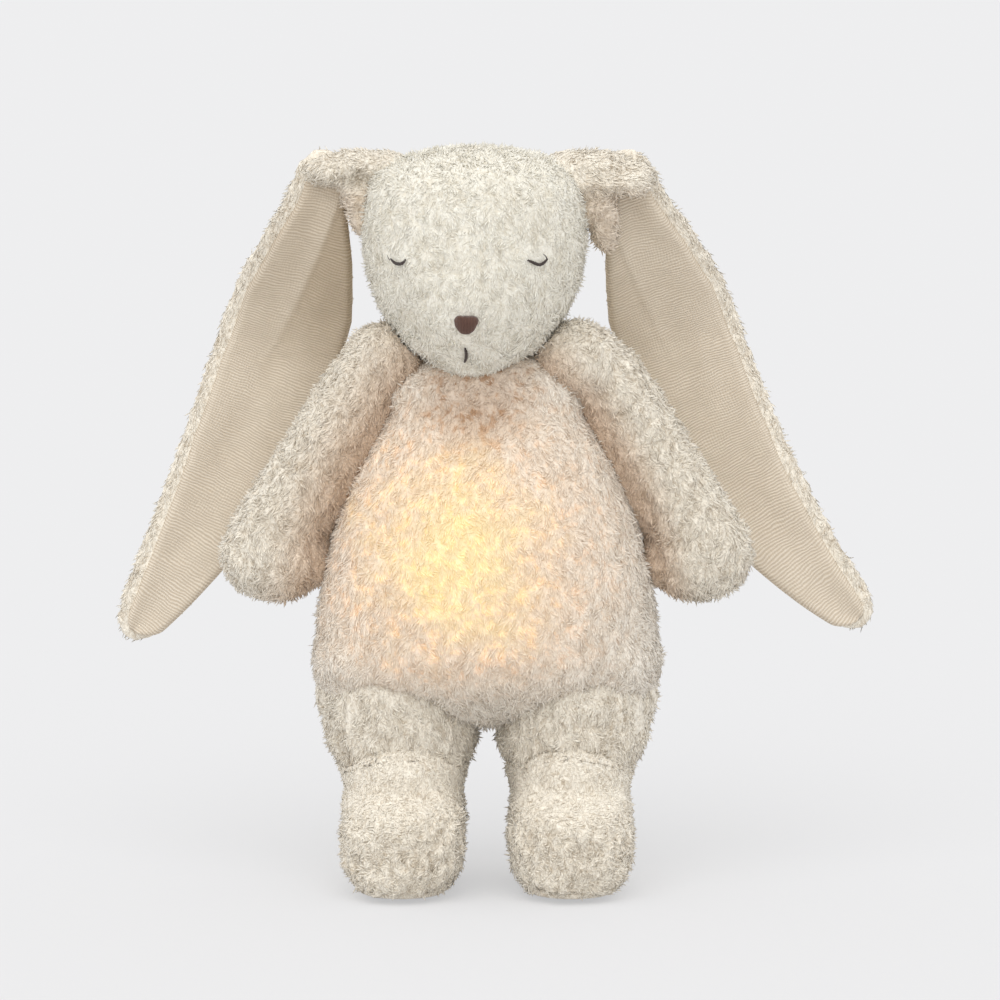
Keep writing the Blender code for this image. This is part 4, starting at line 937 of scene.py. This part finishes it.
# Arms, legs and feet. Each lump is a place, measured from the joint, and its radii.
limbSetup = {
    "shoulder_left": ((0.0035, 0.0000, 0.0150), (0.0170, 0.0170, 0.0160)),
    "shoulder_right": ((-0.0010, -0.0030, 0.0145), (0.0190, 0.0185, 0.0165)),
    "hand": ((0.0505, 0.0000, -0.0680), (0.0208, 0.0185, 0.0178)),
    "hip": ((0.0015, -0.0005, 0.0000), (0.0360, 0.0398, 0.0270)),
    "shin": ((0.0010, -0.0030, -0.0150), (0.0325, 0.0395, 0.0200)),
    "cuff": ((0.0005, -0.0035, -0.0270), (0.0325, 0.0425, 0.0160)),
    "instep": ((0.0000, -0.0090, -0.0300), (0.0272, 0.0365, 0.0200)),
    "armBlend": (0.0240, -0.0120),
    "legBlend": (0.0180, -0.0140),
    "armPlump": 0.0012,
    "armSnug": (0.0050, -0.0003),
    "headGap": 0.0012,
    "litDepth": (middleY - 0.0050, middleY + 0.0120),
    "warmStart": 0.0030,
    "warmReach": {"left": 0.0320, "right": 0.0220},
    "footTop": (0.0520, 0.0110, 0.0400, 0.0280),
    "instepHeight": (0.030, 0.042),
    "sole": 0.0022,
    "soleBand": 0.0012,
    "cuffArch": (0.0450, 0.0145, 0.0310),
    "cuffFront": (0.0200, 0.0040),
    "cuffSoftness": 0.0012,
    "legSnug": (0.0090, -0.0004),
    "legTop": 0.0230,
    "legSink": 0.0012,
    "folds": {"left": ((330, 735), (360, 739), (400, 736), (440, 748)),
              "right": ((545, 733), (590, 727), (625, 733), (644, 748))},
    "foldWidth": 0.0045,
    "foldDepth": 0.0012,
}


def plumped(node, joint, lumps, sign):
    # A limb's solid with its lumps of filling.
    mesh = mergedCopy(node)
    hinge = hinges[joint]
    for lump in lumps:
        (x, y, z), radii = limbSetup[lump]
        blob(mesh, (hinge[0] + sign * x, hinge[1] + y, hinge[2] + z), radii)
    return mesh


def blendAt(joint, limb, key):
    # The fabric follows the torso above the first height over the joint and the limb below the second.
    x, y, z = hinges[joint]
    top, bottom = limbSetup[key]
    return "body", limb, (x, y, z + top), (x, y, z + bottom)


def pressOff(piece, tree, gap):
    # Flattens a soft piece where it would enter a neighbour.
    places = points(piece)
    for i, place in enumerate(places):
        hit, normal, _, _ = tree.find_nearest(Vector(place))
        if (Vector(place) - hit).dot(normal) < gap:
            places[i] = hit + normal * gap
    setPoints(piece, places)


def snug(piece, tree, reach, gap):
    # Draws a soft piece up to the neighbour that it lies against.
    places = points(piece)
    for i, place in enumerate(places):
        hit, normal, _, distance = tree.find_nearest(Vector(place))
        if (Vector(place) - hit).dot(normal) > 0 and distance < reach:
            pull = 1 - float(ramp(distance, reach * 0.5, reach))
            places[i] += (np.array(hit + normal * gap) - place) * pull
    setPoints(piece, places)


def meld(piece, tree, low, high):
    # Lets the top of a limb run out into its neighbour's surface, with no step between them.
    places = points(piece)
    for i in np.nonzero(places[:, 2] > low)[0]:
        hit, normal, _, _ = tree.find_nearest(Vector(places[i]))
        if (Vector(places[i]) - hit).dot(normal) > 0:
            sunk = np.array(hit - normal * limbSetup["legSink"])
            places[i] += (sunk - places[i]) * float(ramp(places[i][2], low, high))
    setPoints(piece, places)


def makeArm(side, sign):
    arm, joint = f"arm_{side}", f"arm_{side}_swing"
    mesh = plumped(arm, joint, (f"shoulder_{side}", "hand"), sign)
    skin = makeSkin(f"armSkin_{side}", mesh, materials["limbSkin"])
    setPoints(skin, points(skin) + normals(skin) * limbSetup["armPlump"])
    snug(skin, torsoSurface, *limbSetup["armSnug"])
    pressOff(skin, headSurface, limbSetup["headGap"])
    preparePile(skin, ["torso"], comb=(0.10 * sign, 0, -0.25))
    # Painted warm shade on the front of the arm near the torso, from the glow and the shade there.
    lit = 1 - ramp(points(skin)[:, 1], *limbSetup["litDepth"])
    reach = limbSetup["warmReach"][side]
    away = ramp(closeness(points(skin), "torso", reach), limbSetup["warmStart"], reach)
    setAttribute(skin, "warmth", lit * (1 - away))
    dress(skin, blendAt(joint, arm, "armBlend"), arm, "limb", 5)


def shapeFoot(side, sign, hinge):
    # A foot with a flat sole and an instep that is cut off under the leg.
    mesh = plumped(f"foot_{side}", f"leg_{side}_bend", ("instep",), sign)
    skin = makeSkin(f"footSkin_{side}", mesh, materials["limbSkin"])
    places = points(skin)
    places[:, 2] = np.maximum(places[:, 2], limbSetup["sole"])
    top, rise, far, near = limbSetup["footTop"]
    highest = top + rise * (1 - ramp(places[:, 1], hinge[1] - far, hinge[1] - near))
    places[:, 2] = np.minimum(places[:, 2], highest)
    setPoints(skin, places)
    return skin


def makeLeg(side, sign, hinge, footSkin):
    # A leg whose cuff arches over the instep and whose top runs out into the torso.
    leg, joint = f"leg_{side}", f"leg_{side}_bend"
    skin = makeSkin(f"legSkin_{side}", plumped(leg, joint, ("hip", "shin", "cuff"), sign), materials["limbSkin"])
    low, rise, half = limbSetup["cuffArch"]
    far, near = limbSetup["cuffFront"]
    places = points(skin)
    arch = low + rise * np.maximum(1 - ((places[:, 0] - hinge[0]) / half) ** 2, 0)
    ahead = 1 - ramp(places[:, 1], hinge[1] - far, hinge[1] - near)
    lowest = low + (arch - low) * ahead
    softness = limbSetup["cuffSoftness"]
    places[:, 2] = lowest + softness * np.logaddexp(0, (places[:, 2] - lowest) / softness)
    setPoints(skin, places)
    snug(skin, surfaceOf(footSkin), *limbSetup["legSnug"])
    meld(skin, torsoSurface, hinge[2], hinge[2] + limbSetup["legTop"])
    path = photoPath(surfaceOf(skin), limbSetup["folds"][side])
    crease = groove(skin, path, limbSetup["foldWidth"], limbSetup["foldDepth"])
    preparePile(skin, ["torso"], depth=1 - crease * 0.3)
    dress(skin, blendAt(joint, leg, "legBlend"), leg, "limb", 7)


def dressFoot(side, sign, skin):
    height = points(skin)[:, 2]
    instep = ramp(height, *limbSetup["instepHeight"])
    sole = (height < limbSetup["sole"] + limbSetup["soleBand"]).astype(float)
    preparePile(skin, [f"leg_{side}"], comb=(0.3 * sign, 0, 0), depth=1 - 0.45 * instep, keep=1 - sole,
                relief=(1 - 0.75 * instep) * (1 - sole))
    dress(skin, f"leg_{side}", f"foot_{side}", "limb", 9, look="toes")


headSurface = surfaceOf(headSkin)
torsoSurface = surfaceOf(torsoSkin)
for side, sign in sides.items():
    hinge = hinges[f"leg_{side}_bend"]
    makeArm(side, sign)
    footSkin = shapeFoot(side, sign, hinge)
    makeLeg(side, sign, hinge, footSkin)
    dressFoot(side, sign, footSkin)
print("limbs are dressed")


# Ears: a pile back and a woven lining, hung from a folded top that is sewn to the head.
earSetup = {
    "length": 0.2130,
    "startAngle": {"left": math.radians(11), "right": math.radians(17)},
    "endAngle": {"left": math.radians(37), "right": math.radians(52)},
    "curvePower": {"left": 1.2, "right": 2.4},
    "setback": 0.0250,
    "setbackShare": 0.38,
    "steps": 40,
    "halfWidth": 0.0280,
    "widthShares": ((0.00, 0.41), (0.06, 0.50), (0.16, 0.76), (0.27, 0.97), (0.42, 1.00), (0.60, 0.94),
                    (0.76, 0.75), (0.88, 0.55), (0.95, 0.42), (1.00, 0.34)),
    "frontDepth": 0.0026,
    "tipReach": {"left": 0.0085, "right": 0.0130},
    "tipRange": (-0.070, 0.004),
    "voxel": 0.0018,
    "smoothing": 5,
}
# A recess is the line across the lining where it starts, its drift, its depth, its painted shade and the painted
# shade at the top.
liningSetup = {
    "start": 0.005,
    "end": 0.972,
    "tail": 0.035,
    "outerRim": 0.0068,
    "innerRim": 0.0008,
    "narrowest": 0.002,
    "rows": 150,
    "columns": 36,
    "thickness": 0.0009,
    "crown": 0.0014,
    "roll": 0.0030,
    "crease": {"left": (0.0034, 0.62, 0.30), "right": (0.0026, 0.50, 0.28)},
    "puckerWidth": 0.0110,
    "puckerLength": 0.0190,
    "puckerDepth": 0.0008,
    "pitch": 0.00114,
    "light": (0.828, 0.740, 0.615),
    "dark": (0.605, 0.510, 0.393),
    "recess": {"left": (-0.0115, 0.036, 0.0010, 0.50, 0.30), "right": (-0.0150, 0.020, 0.0008, 0.15, 0.03)},
    "recessEdge": 0.0012,
    # Colour of the painted shade in the lining's recess and at its top.
    "recessTint": (0.62, 0.56, 0.48),
}


def earPoint(side, share):
    # Centre of the ear, its outward direction and its front normal at a share of its length.
    sign = sides[side]
    start, end, power = (earSetup[key][side] for key in ("startAngle", "endAngle", "curvePower"))
    place = Vector(hinges[f"ear_{side}_lift"])
    hingeY = place.y
    step = earSetup["length"] * share / earSetup["steps"]
    for i in range(earSetup["steps"]):
        angle = start + (end - start) * max(share * (i + 0.5) / earSetup["steps"], 0) ** power
        place += Vector((sign * math.sin(angle), 0, -math.cos(angle))) * step
    u = min(max(share / earSetup["setbackShare"], 0), 1)
    place.y = hingeY + earSetup["setback"] * u * u * (3 - 2 * u)
    lean = earSetup["setback"] * 6 * u * (1 - u) / earSetup["setbackShare"] / earSetup["length"]
    angle = start + (end - start) * max(share, 0) ** power
    across = Vector((sign * math.cos(angle), 0, math.sin(angle)))
    down = Vector((sign * math.sin(angle), lean, -math.cos(angle))).normalized()
    normal = across.cross(down).normalized()
    return place, across, normal if normal.y < 0 else -normal


def earHalfWidth(share):
    shares, widths = zip(*earSetup["widthShares"])
    return earSetup["halfWidth"] * float(np.interp(share, shares, widths))


def stretchTip(side, places):
    # Draws the end of an ear out to where the photograph shows it.
    tip, before = (np.array(earPoint(side, share)[0]) for share in (1.0, 0.96))
    along = (tip - before) / np.linalg.norm(tip - before)
    reach = ramp((places - before) @ along, *earSetup["tipRange"])
    return places + along * (reach * earSetup["tipReach"][side])[:, None]


def liningMaterial():
    # Coarse plain weave: level threads over the whole cloth, crossed by upright ones that show here and there.
    material, bench, shader = newMaterial("liningWeave", {"Roughness": 0.95, "Specular IOR Level": 0.15})
    place = bench.place()
    u, v, _ = bench.split(bench.node("ShaderNodeUVMap", {"uv_map": "weave"}))
    turn = math.pi / liningSetup["pitch"]
    u = u + bench.noise(place, 0.012, 2.0) * 0.0030 + bench.noise(place, 0.0028, 2.0) * 0.0009
    v = v + bench.noise(place, 0.014, 2.0) * 0.0036 + bench.noise(place, 0.0030, 2.0) * 0.0007
    crossed = bench.smooth(bench.noise(place, 0.015, 3.0, 0.6), 0.40, 0.66) * 0.70 + 0.12
    warp, weft = ((thread * turn).math("SINE") for thread in (u, v))
    over = ((u * turn).math("COSINE") * (v * turn).math("COSINE")) * 0.5 + 0.5
    warp = 1 - warp * warp
    weft = 1 - weft * weft
    level = weft * (0.80 - crossed * 0.35 + over * crossed * 0.55) * (1.05 - crossed * 0.30)
    height = level + warp * (1 - over * 0.55) * crossed * 0.45
    height = height + bench.noise(place, 0.0007, 2.0) * 0.25
    slub = bench.smooth(bench.noise(place, 0.006, 3.0, 0.65), 0.3, 0.7)
    tone = bench.smooth(height, 0.15, 1.0) * (0.75 + slub * 0.25)
    base = bench.mixColour(tone, liningSetup["dark"], liningSetup["light"])
    # Painted shade in the recess and at the top of the lining.
    base = bench.mixColour(bench.attribute("recess"), base, liningSetup["recessTint"], "MULTIPLY")
    plug(bench, shader, {"Base Color": base, "Normal": bench.bump(height, 0.0003, 0.8)})
    return material


def liningHeight(side, share, v, s, edge):
    # How far the lining stands out at a share of its length, and how much painted shade its recess and its top get.
    amount, line, spread = liningSetup["crease"][side]
    foldStart, foldDrift, foldDepth, foldShade, topShade = liningSetup["recess"][side]
    roll = math.sqrt(max(0, 1 - max(0, 1 - edge / liningSetup["roll"]) ** 2))
    swell = 1 - math.exp(-((v - line) / spread) ** 2)
    fade = min(1, share / 0.1) * (1 - 0.6 * share)
    ripple = 0.0004 * math.sin(share * 46 + v * 3.0) * math.exp(-share * 7)
    height = earSetup["frontDepth"] + (liningSetup["crown"] + amount * fade * swell) * roll + ripple
    pucker = noise.noise(Vector((s / liningSetup["puckerWidth"],
                                 share * earSetup["length"] / liningSetup["puckerLength"], 3.7 * sides[side])))
    height += liningSetup["puckerDepth"] * pucker * roll
    border, blur = foldStart + foldDrift * share, liningSetup["recessEdge"]
    sunk = 1 - float(ramp(s, border - blur, border + blur))
    sunk *= 1 - float(ramp(share, 0.22, 0.50))
    height -= foldDepth * sunk * roll
    return height, min(1, foldShade * sunk + topShade * (1 - float(ramp(share, 0.0, 0.55))))


def makeLining(side):
    # The woven face of the ear: a thin closed sheet that rolls over at its edges and sinks along one crease.
    rows, columns, length = liningSetup["rows"], liningSetup["columns"], earSetup["length"]
    front, back, uvs, liningShades = [], [], [], []
    for i in range(rows + 1):
        share = liningSetup["start"] + (liningSetup["end"] - liningSetup["start"]) * i / rows
        place, across, normal = earPoint(side, share)
        half = earHalfWidth(share)
        tail = (share - liningSetup["end"] + liningSetup["tail"]) / liningSetup["tail"]
        closing = math.sqrt(max(0, 1 - max(tail, 0) ** 2 * 0.92))
        inner = (-half + liningSetup["innerRim"]) * closing
        outer = max((half - liningSetup["outerRim"]) * closing, inner + liningSetup["narrowest"])
        for k in range(columns + 1):
            v = k / columns
            s = inner + (outer - inner) * v
            height, liningShade = liningHeight(side, share, v, s, min(s - inner, outer - s))
            liningShades.append(liningShade)
            front.append(place + across * s + normal * height)
            back.append(place + across * s + normal * (earSetup["frontDepth"] - liningSetup["thickness"] * 0.5))
            uvs.append((s, share * length))
    count = columns + 1
    total = len(front)
    faces = []
    for i in range(rows):
        for a in range(i * count, i * count + columns):
            faces.append((a, a + 1, a + count + 1, a + count))
            faces.append((total + a, total + a + count, total + a + count + 1, total + a + 1))
    rim = list(range(count)) + [i * count + columns for i in range(1, rows + 1)]
    rim += [rows * count + k for k in reversed(range(columns))] + [i * count for i in reversed(range(1, rows))]
    for a, b in zip(rim, rim[1:] + rim[:1]):
        faces.append((b, a, total + a, total + b))
    corners = stretchTip(side, np.array(front + back)).tolist()
    piece = newObject(f"earLining_{side}", (corners, [], faces), materials["lining"])
    setAttribute(piece, "recess", np.array(liningShades + liningShades))
    layer = piece.data.uv_layers.new(name="weave")
    for loop in piece.data.loops:
        layer.data[loop.index].uv = uvs[loop.vertex_index % total]
    faceOutwards(piece)
    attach(piece, f"ear_{side}")
    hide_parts(f"ear_lining_{side}")
    return piece


def earAcross(side, places):
    # Where each place lies across the ear: -1 at its inner edge, 1 at its outer one.
    stations = [(share, *earPoint(side, share)[:2]) for share in np.linspace(0, 1, 60)]
    centres = np.array([centre for _, centre, _ in stations])
    found = np.zeros(len(places))
    for i, place in enumerate(places):
        share, centre, across = stations[int(np.argmin(np.sum((centres - place) ** 2, axis=1)))]
        found[i] = Vector(place - np.array(centre)).dot(across) / earHalfWidth(share)
    return found


materials["lining"] = liningMaterial()
for side, sign in sides.items():
    earSkin = makeSkin(f"earSkin_{side}", mergedCopy(f"ear_back_{side}"), materials["limbSkin"],
                       earSetup["voxel"], earSetup["smoothing"])
    setPoints(earSkin, stretchTip(side, points(earSkin)))
    lining = makeLining(side)
    across, behind = earAcross(side, points(earSkin)), normals(earSkin)[:, 1]
    covered = 1 - ((across < 0.5) & (behind < 0.35)).astype(float)
    preparePile(earSkin, [lining], clear=0.0008, near=0.0030, comb=(0.15 * sign, 0, -0.45), keep=covered,
                depth=0.45 + 0.55 * ramp(across, -1.0, -0.5), relief=covered)
    dress(earSkin, f"ear_{side}", f"ear_back_{side}", "limb", 11, look="ear")
print("ears are dressed")


# Ear tops: the pile fabric folds over where each ear is sewn to the head.
foldSetup = {
    "voxel": 0.0018,
    "smoothing": 6,
    "warmth": 0.45,
    "warmHeight": (0.2860, 0.2960),
    "left": (
        ((-0.0430, 0.0010, 0.3005), (0.0110, 0.0130, 0.0072)),
        ((-0.0560, 0.0020, 0.3012), (0.0125, 0.0130, 0.0066)),
        ((-0.0670, 0.0030, 0.2985), (0.0100, 0.0125, 0.0066)),
        ((-0.0550, 0.0000, 0.2880), (0.0068, 0.0100, 0.0085)),
        ((-0.0535, 0.0000, 0.2800), (0.0045, 0.0080, 0.0085)),
    ),
    "right": (
        ((0.0330, 0.0000, 0.3000), (0.0120, 0.0130, 0.0076)),
        ((0.0460, 0.0015, 0.3010), (0.0130, 0.0130, 0.0068)),
        ((0.0590, 0.0030, 0.2970), (0.0105, 0.0125, 0.0064)),
        ((0.0395, -0.0060, 0.2935), (0.0090, 0.0085, 0.0046)),
        ((0.0500, -0.0070, 0.2935), (0.0090, 0.0080, 0.0040)),
        ((0.0600, -0.0055, 0.2925), (0.0075, 0.0070, 0.0040)),
        ((0.0450, 0.0000, 0.2840), (0.0090, 0.0105, 0.0090)),
        ((0.0480, 0.0000, 0.2755), (0.0060, 0.0085, 0.0110)),
    ),
}
for side, sign in sides.items():
    mesh = bmesh.new()
    for centre, radii in foldSetup[side]:
        blob(mesh, centre, radii)
    foldSkin = makeSkin(f"foldSkin_{side}", mesh, materials["limbSkin"], foldSetup["voxel"], foldSetup["smoothing"])
    preparePile(foldSkin, ["head"], comb=(0.5 * sign, 0, -0.1))
    # Painted warm shade, darker towards the bottom of each ear top.
    low = 1 - ramp(points(foldSkin)[:, 2], *foldSetup["warmHeight"])
    setAttribute(foldSkin, "warmth", foldSetup["warmth"] * low)
    dress(foldSkin, "head", f"ear_root_{side}", "limb", 13)
print("ear tops are folded")


# Back flap: a panel of pile fabric that hangs over the pocket, held shut by two strips of tape.
flapSetup = {
    "cuts": 2,
    "bendTop": 0.0025,
    "bendBottom": -0.0100,
    "flat": (0.0760, 0.0990),
    "tapeLight": (0.80, 0.76, 0.68),
    "tapeDark": (0.58, 0.53, 0.45),
    "tapes": (("hook_strip", "hookTape", "hooks", "flap", -1), ("loop_strip", "loopTape", "loops", "body", 1)),
}


def finerCopy(name, node, material, cuts):
    mesh = mergedCopy(node)
    bmesh.ops.dissolve_limit(mesh, angle_limit=math.radians(0.5), verts=mesh.verts, edges=mesh.edges)
    bmesh.ops.triangulate(mesh, faces=mesh.faces)
    bmesh.ops.join_triangles(mesh, faces=mesh.faces, angle_face_threshold=0.6, angle_shape_threshold=3.1)
    bmesh.ops.subdivide_edges(mesh, edges=mesh.edges, cuts=cuts, use_grid_fill=True)
    piece = newObject(name, mesh, material)
    piece.data.shade_smooth()
    return piece


def clothMaterial(name, pitch, light, dark, bump):
    # Plain woven cloth on object coordinates: fine threads both ways with a soft uneven tone.
    material, bench, shader = newMaterial(name, {"Roughness": 0.95, "Specular IOR Level": 0.15})
    place = bench.place()
    wobble = bench.noise(place, 0.006, 2.0, output=1)
    x, y, z = bench.split(bench.vector("MULTIPLY_ADD", wobble, (0.0008, 0.0008, 0.0008), place))
    upright, level = ((way * (2 * math.pi / pitch)).math("SINE") * 0.5 + 0.5 for way in (z, x + y))
    slub = bench.smooth(bench.noise(place, 0.008, 3.0), 0.3, 0.7)
    height = upright * 0.5 + level * 0.5
    base = bench.mixColour(height * 0.7 + slub * 0.3, dark, light)
    plug(bench, shader, {"Base Color": base, "Normal": bench.bump(height, bump)})
    return material


materials["tape"] = clothMaterial("closureTape", 0.0009, flapSetup["tapeLight"], flapSetup["tapeDark"], 0.00015)
flapSkin = finerCopy("flapSkin", "back_flap", materials["bodySkin"], flapSetup["cuts"])
outside = (normals(flapSkin)[:, 1] > 0.2).astype(float)
preparePile(flapSkin, [], keep=outside, relief=outside)
x, y, z = hinges["flap_open"]
flapBend = "body", "flap", (x, y, z + flapSetup["bendTop"]), (x, y, z + flapSetup["bendBottom"])
dress(flapSkin, flapBend, "back_flap", "body", 17, look="flap")
for node, name, look, body, facing in flapSetup["tapes"]:
    tape = finerCopy(name, node, materials["tape"], flapSetup["cuts"])
    preparePile(tape, [], keep=(normals(tape)[:, 1] * facing > 0.3).astype(float), comb=(0, 0, 0))
    setAttribute(tape, "mat", np.ones(len(tape.data.vertices)))
    barbs = growPile(name + "_" + look, tape, materials["tape"], pileLooks[look], 19)
    for piece in (tape, barbs):
        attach(piece, body)
    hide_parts(node)
print("flap is hung")


# Pocket liner: thin cotton around the light unit, a little creased.
linerSetup = {
    "cuts": 5,
    "creasePitch": 0.011,
    "creaseDepth": 0.0010,
    "hem": (0.008, 0.002),
    "flat": (0.166, 0.171),
    "light": (0.93, 0.89, 0.80),
    "dark": (0.74, 0.68, 0.57),
}


def creaseLiner(liner):
    # Pushes the cloth out in soft folds that fade towards its open hem.
    places = points(liner)
    lowest, highest = (np.array(corner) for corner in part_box("pocket_liner"))
    outward = places - (lowest + highest) / 2
    outward[:, 1] = np.minimum(outward[:, 1], 0) * 0.3
    outward /= np.maximum(np.linalg.norm(outward, axis=1), 1e-6)[:, None]
    folds = np.array([noise.noise(Vector(place) / linerSetup["creasePitch"]) for place in places])
    start, end = (highest[1] - reach for reach in linerSetup["hem"])
    depth = np.maximum(folds, 0) * linerSetup["creaseDepth"] * (1 - ramp(places[:, 1], start, end))
    setPoints(liner, places + outward * depth[:, None])


materials["liner"] = clothMaterial("pocketCotton", 0.0007, linerSetup["light"], linerSetup["dark"], 0.00012)
liner = finerCopy("pocketCloth", "pocket_liner", materials["liner"], linerSetup["cuts"])
creaseLiner(liner)
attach(liner, "body")
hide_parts("pocket_liner")
print("pocket is lined")


# Light unit: the parts keep their solids and get their finishes here.
# Each finish has a light and a dark colour, the pitch and height of its grain, and its roughness range.
unitFinishes = {
    "white_case": ((0.90, 0.89, 0.86), (0.80, 0.79, 0.76), 0.0006, 0.00004, (0.38, 0.52)),
    "opal_diffuser": ((0.96, 0.93, 0.86), (0.90, 0.84, 0.72), 0.0120, 0.00002, (0.30, 0.45)),
    "screw_steel": ((0.72, 0.72, 0.73), (0.42, 0.42, 0.44), 0.0004, 0.00003, (0.22, 0.42)),
    "green_board": ((0.05, 0.30, 0.14), (0.02, 0.17, 0.08), 0.0022, 0.00005, (0.30, 0.50)),
    "warm_led": ((0.98, 0.80, 0.30), (0.90, 0.62, 0.16), 0.0007, 0.00002, (0.25, 0.40)),
    "battery_wrap": ((0.12, 0.30, 0.62), (0.07, 0.19, 0.44), 0.0050, 0.00012, (0.25, 0.42)),
    "foam_pad": ((0.24, 0.24, 0.25), (0.09, 0.09, 0.10), 0.0007, 0.00035, (0.90, 1.00)),
    "lead_plus": ((0.74, 0.07, 0.05), (0.50, 0.04, 0.03), 0.0016, 0.00003, (0.35, 0.50)),
    "lead_minus": ((0.06, 0.06, 0.06), (0.02, 0.02, 0.02), 0.0016, 0.00003, (0.35, 0.50)),
    "switch_black": ((0.07, 0.07, 0.07), (0.03, 0.03, 0.03), 0.0005, 0.00003, (0.40, 0.60)),
    "socket_steel": ((0.78, 0.78, 0.78), (0.52, 0.52, 0.54), 0.0009, 0.00002, (0.20, 0.38)),
    "button_rubber": ((0.62, 0.58, 0.53), (0.50, 0.46, 0.42), 0.0004, 0.00004, (0.60, 0.80)),
}
unitLights = {"opal_diffuser": ((1.0, 0.70, 0.32), 0.55), "warm_led": ((1.0, 0.72, 0.30), 1.6)}
unitMetals = ("screw_steel", "socket_steel")
boardTracks = {"colour": (0.66, 0.55, 0.28), "Scale": 210.0, "Mortar Size": 0.035}


def unitMaterial(slot):
    light, dark, pitch, bump, (low, high) = unitFinishes[slot]
    constants = {"Metallic": float(slot in unitMetals)}
    if slot in unitLights:
        colour, strength = unitLights[slot]
        constants.update({"Emission Color": (*colour, 1), "Emission Strength": strength})
    material, bench, shader = newMaterial(slot + "Finish", constants)
    place = bench.place()
    grain = bench.noise(place, pitch, 3.0, 0.6)
    wear = bench.smooth(bench.noise(place, 0.014, 3.0, 0.6), 0.35, 0.7)
    base = bench.mixColour(grain * 0.7 + wear * 0.3, dark, light)
    if slot == "green_board":
        bricks = bench.node("ShaderNodeTexBrick", {}, {
            "Vector": bench.vector("MULTIPLY", place, (1, 0, 1)), "Scale": boardTracks["Scale"],
            "Color1": (0, 0, 0, 1), "Color2": (0, 0, 0, 1), "Mortar": (1, 1, 1, 1),
            "Mortar Size": boardTracks["Mortar Size"]})
        base = bench.mixColour(bricks * 0.6, base, boardTracks["colour"])
    plug(bench, shader, {"Base Color": base, "Roughness": wear * (high - low) + low,
                         "Normal": bench.bump(grain, bump)})
    return material


for piece in nodes.values():
    slot = piece.material_slots[0].material.name.split(".")[0] if piece.material_slots else ""
    if slot in unitFinishes:
        if slot not in materials:
            materials[slot] = unitMaterial(slot)
        piece.material_slots[0].material = materials[slot]
print("light unit is finished")


# Tail: a pompom.
tailSkin = makeSkin("tailSkin", mergedCopy("tail"), materials["limbSkin"], 0.0016)
preparePile(tailSkin, ["torso"], clear=0.0008, comb=(0, 0, -0.1))
dress(tailSkin, "body", "tail", "limb", 15, look="tail")
print("tail is sewn on")

for tuft in list(tuftKinds.objects):
    bpy.data.objects.remove(tuft)
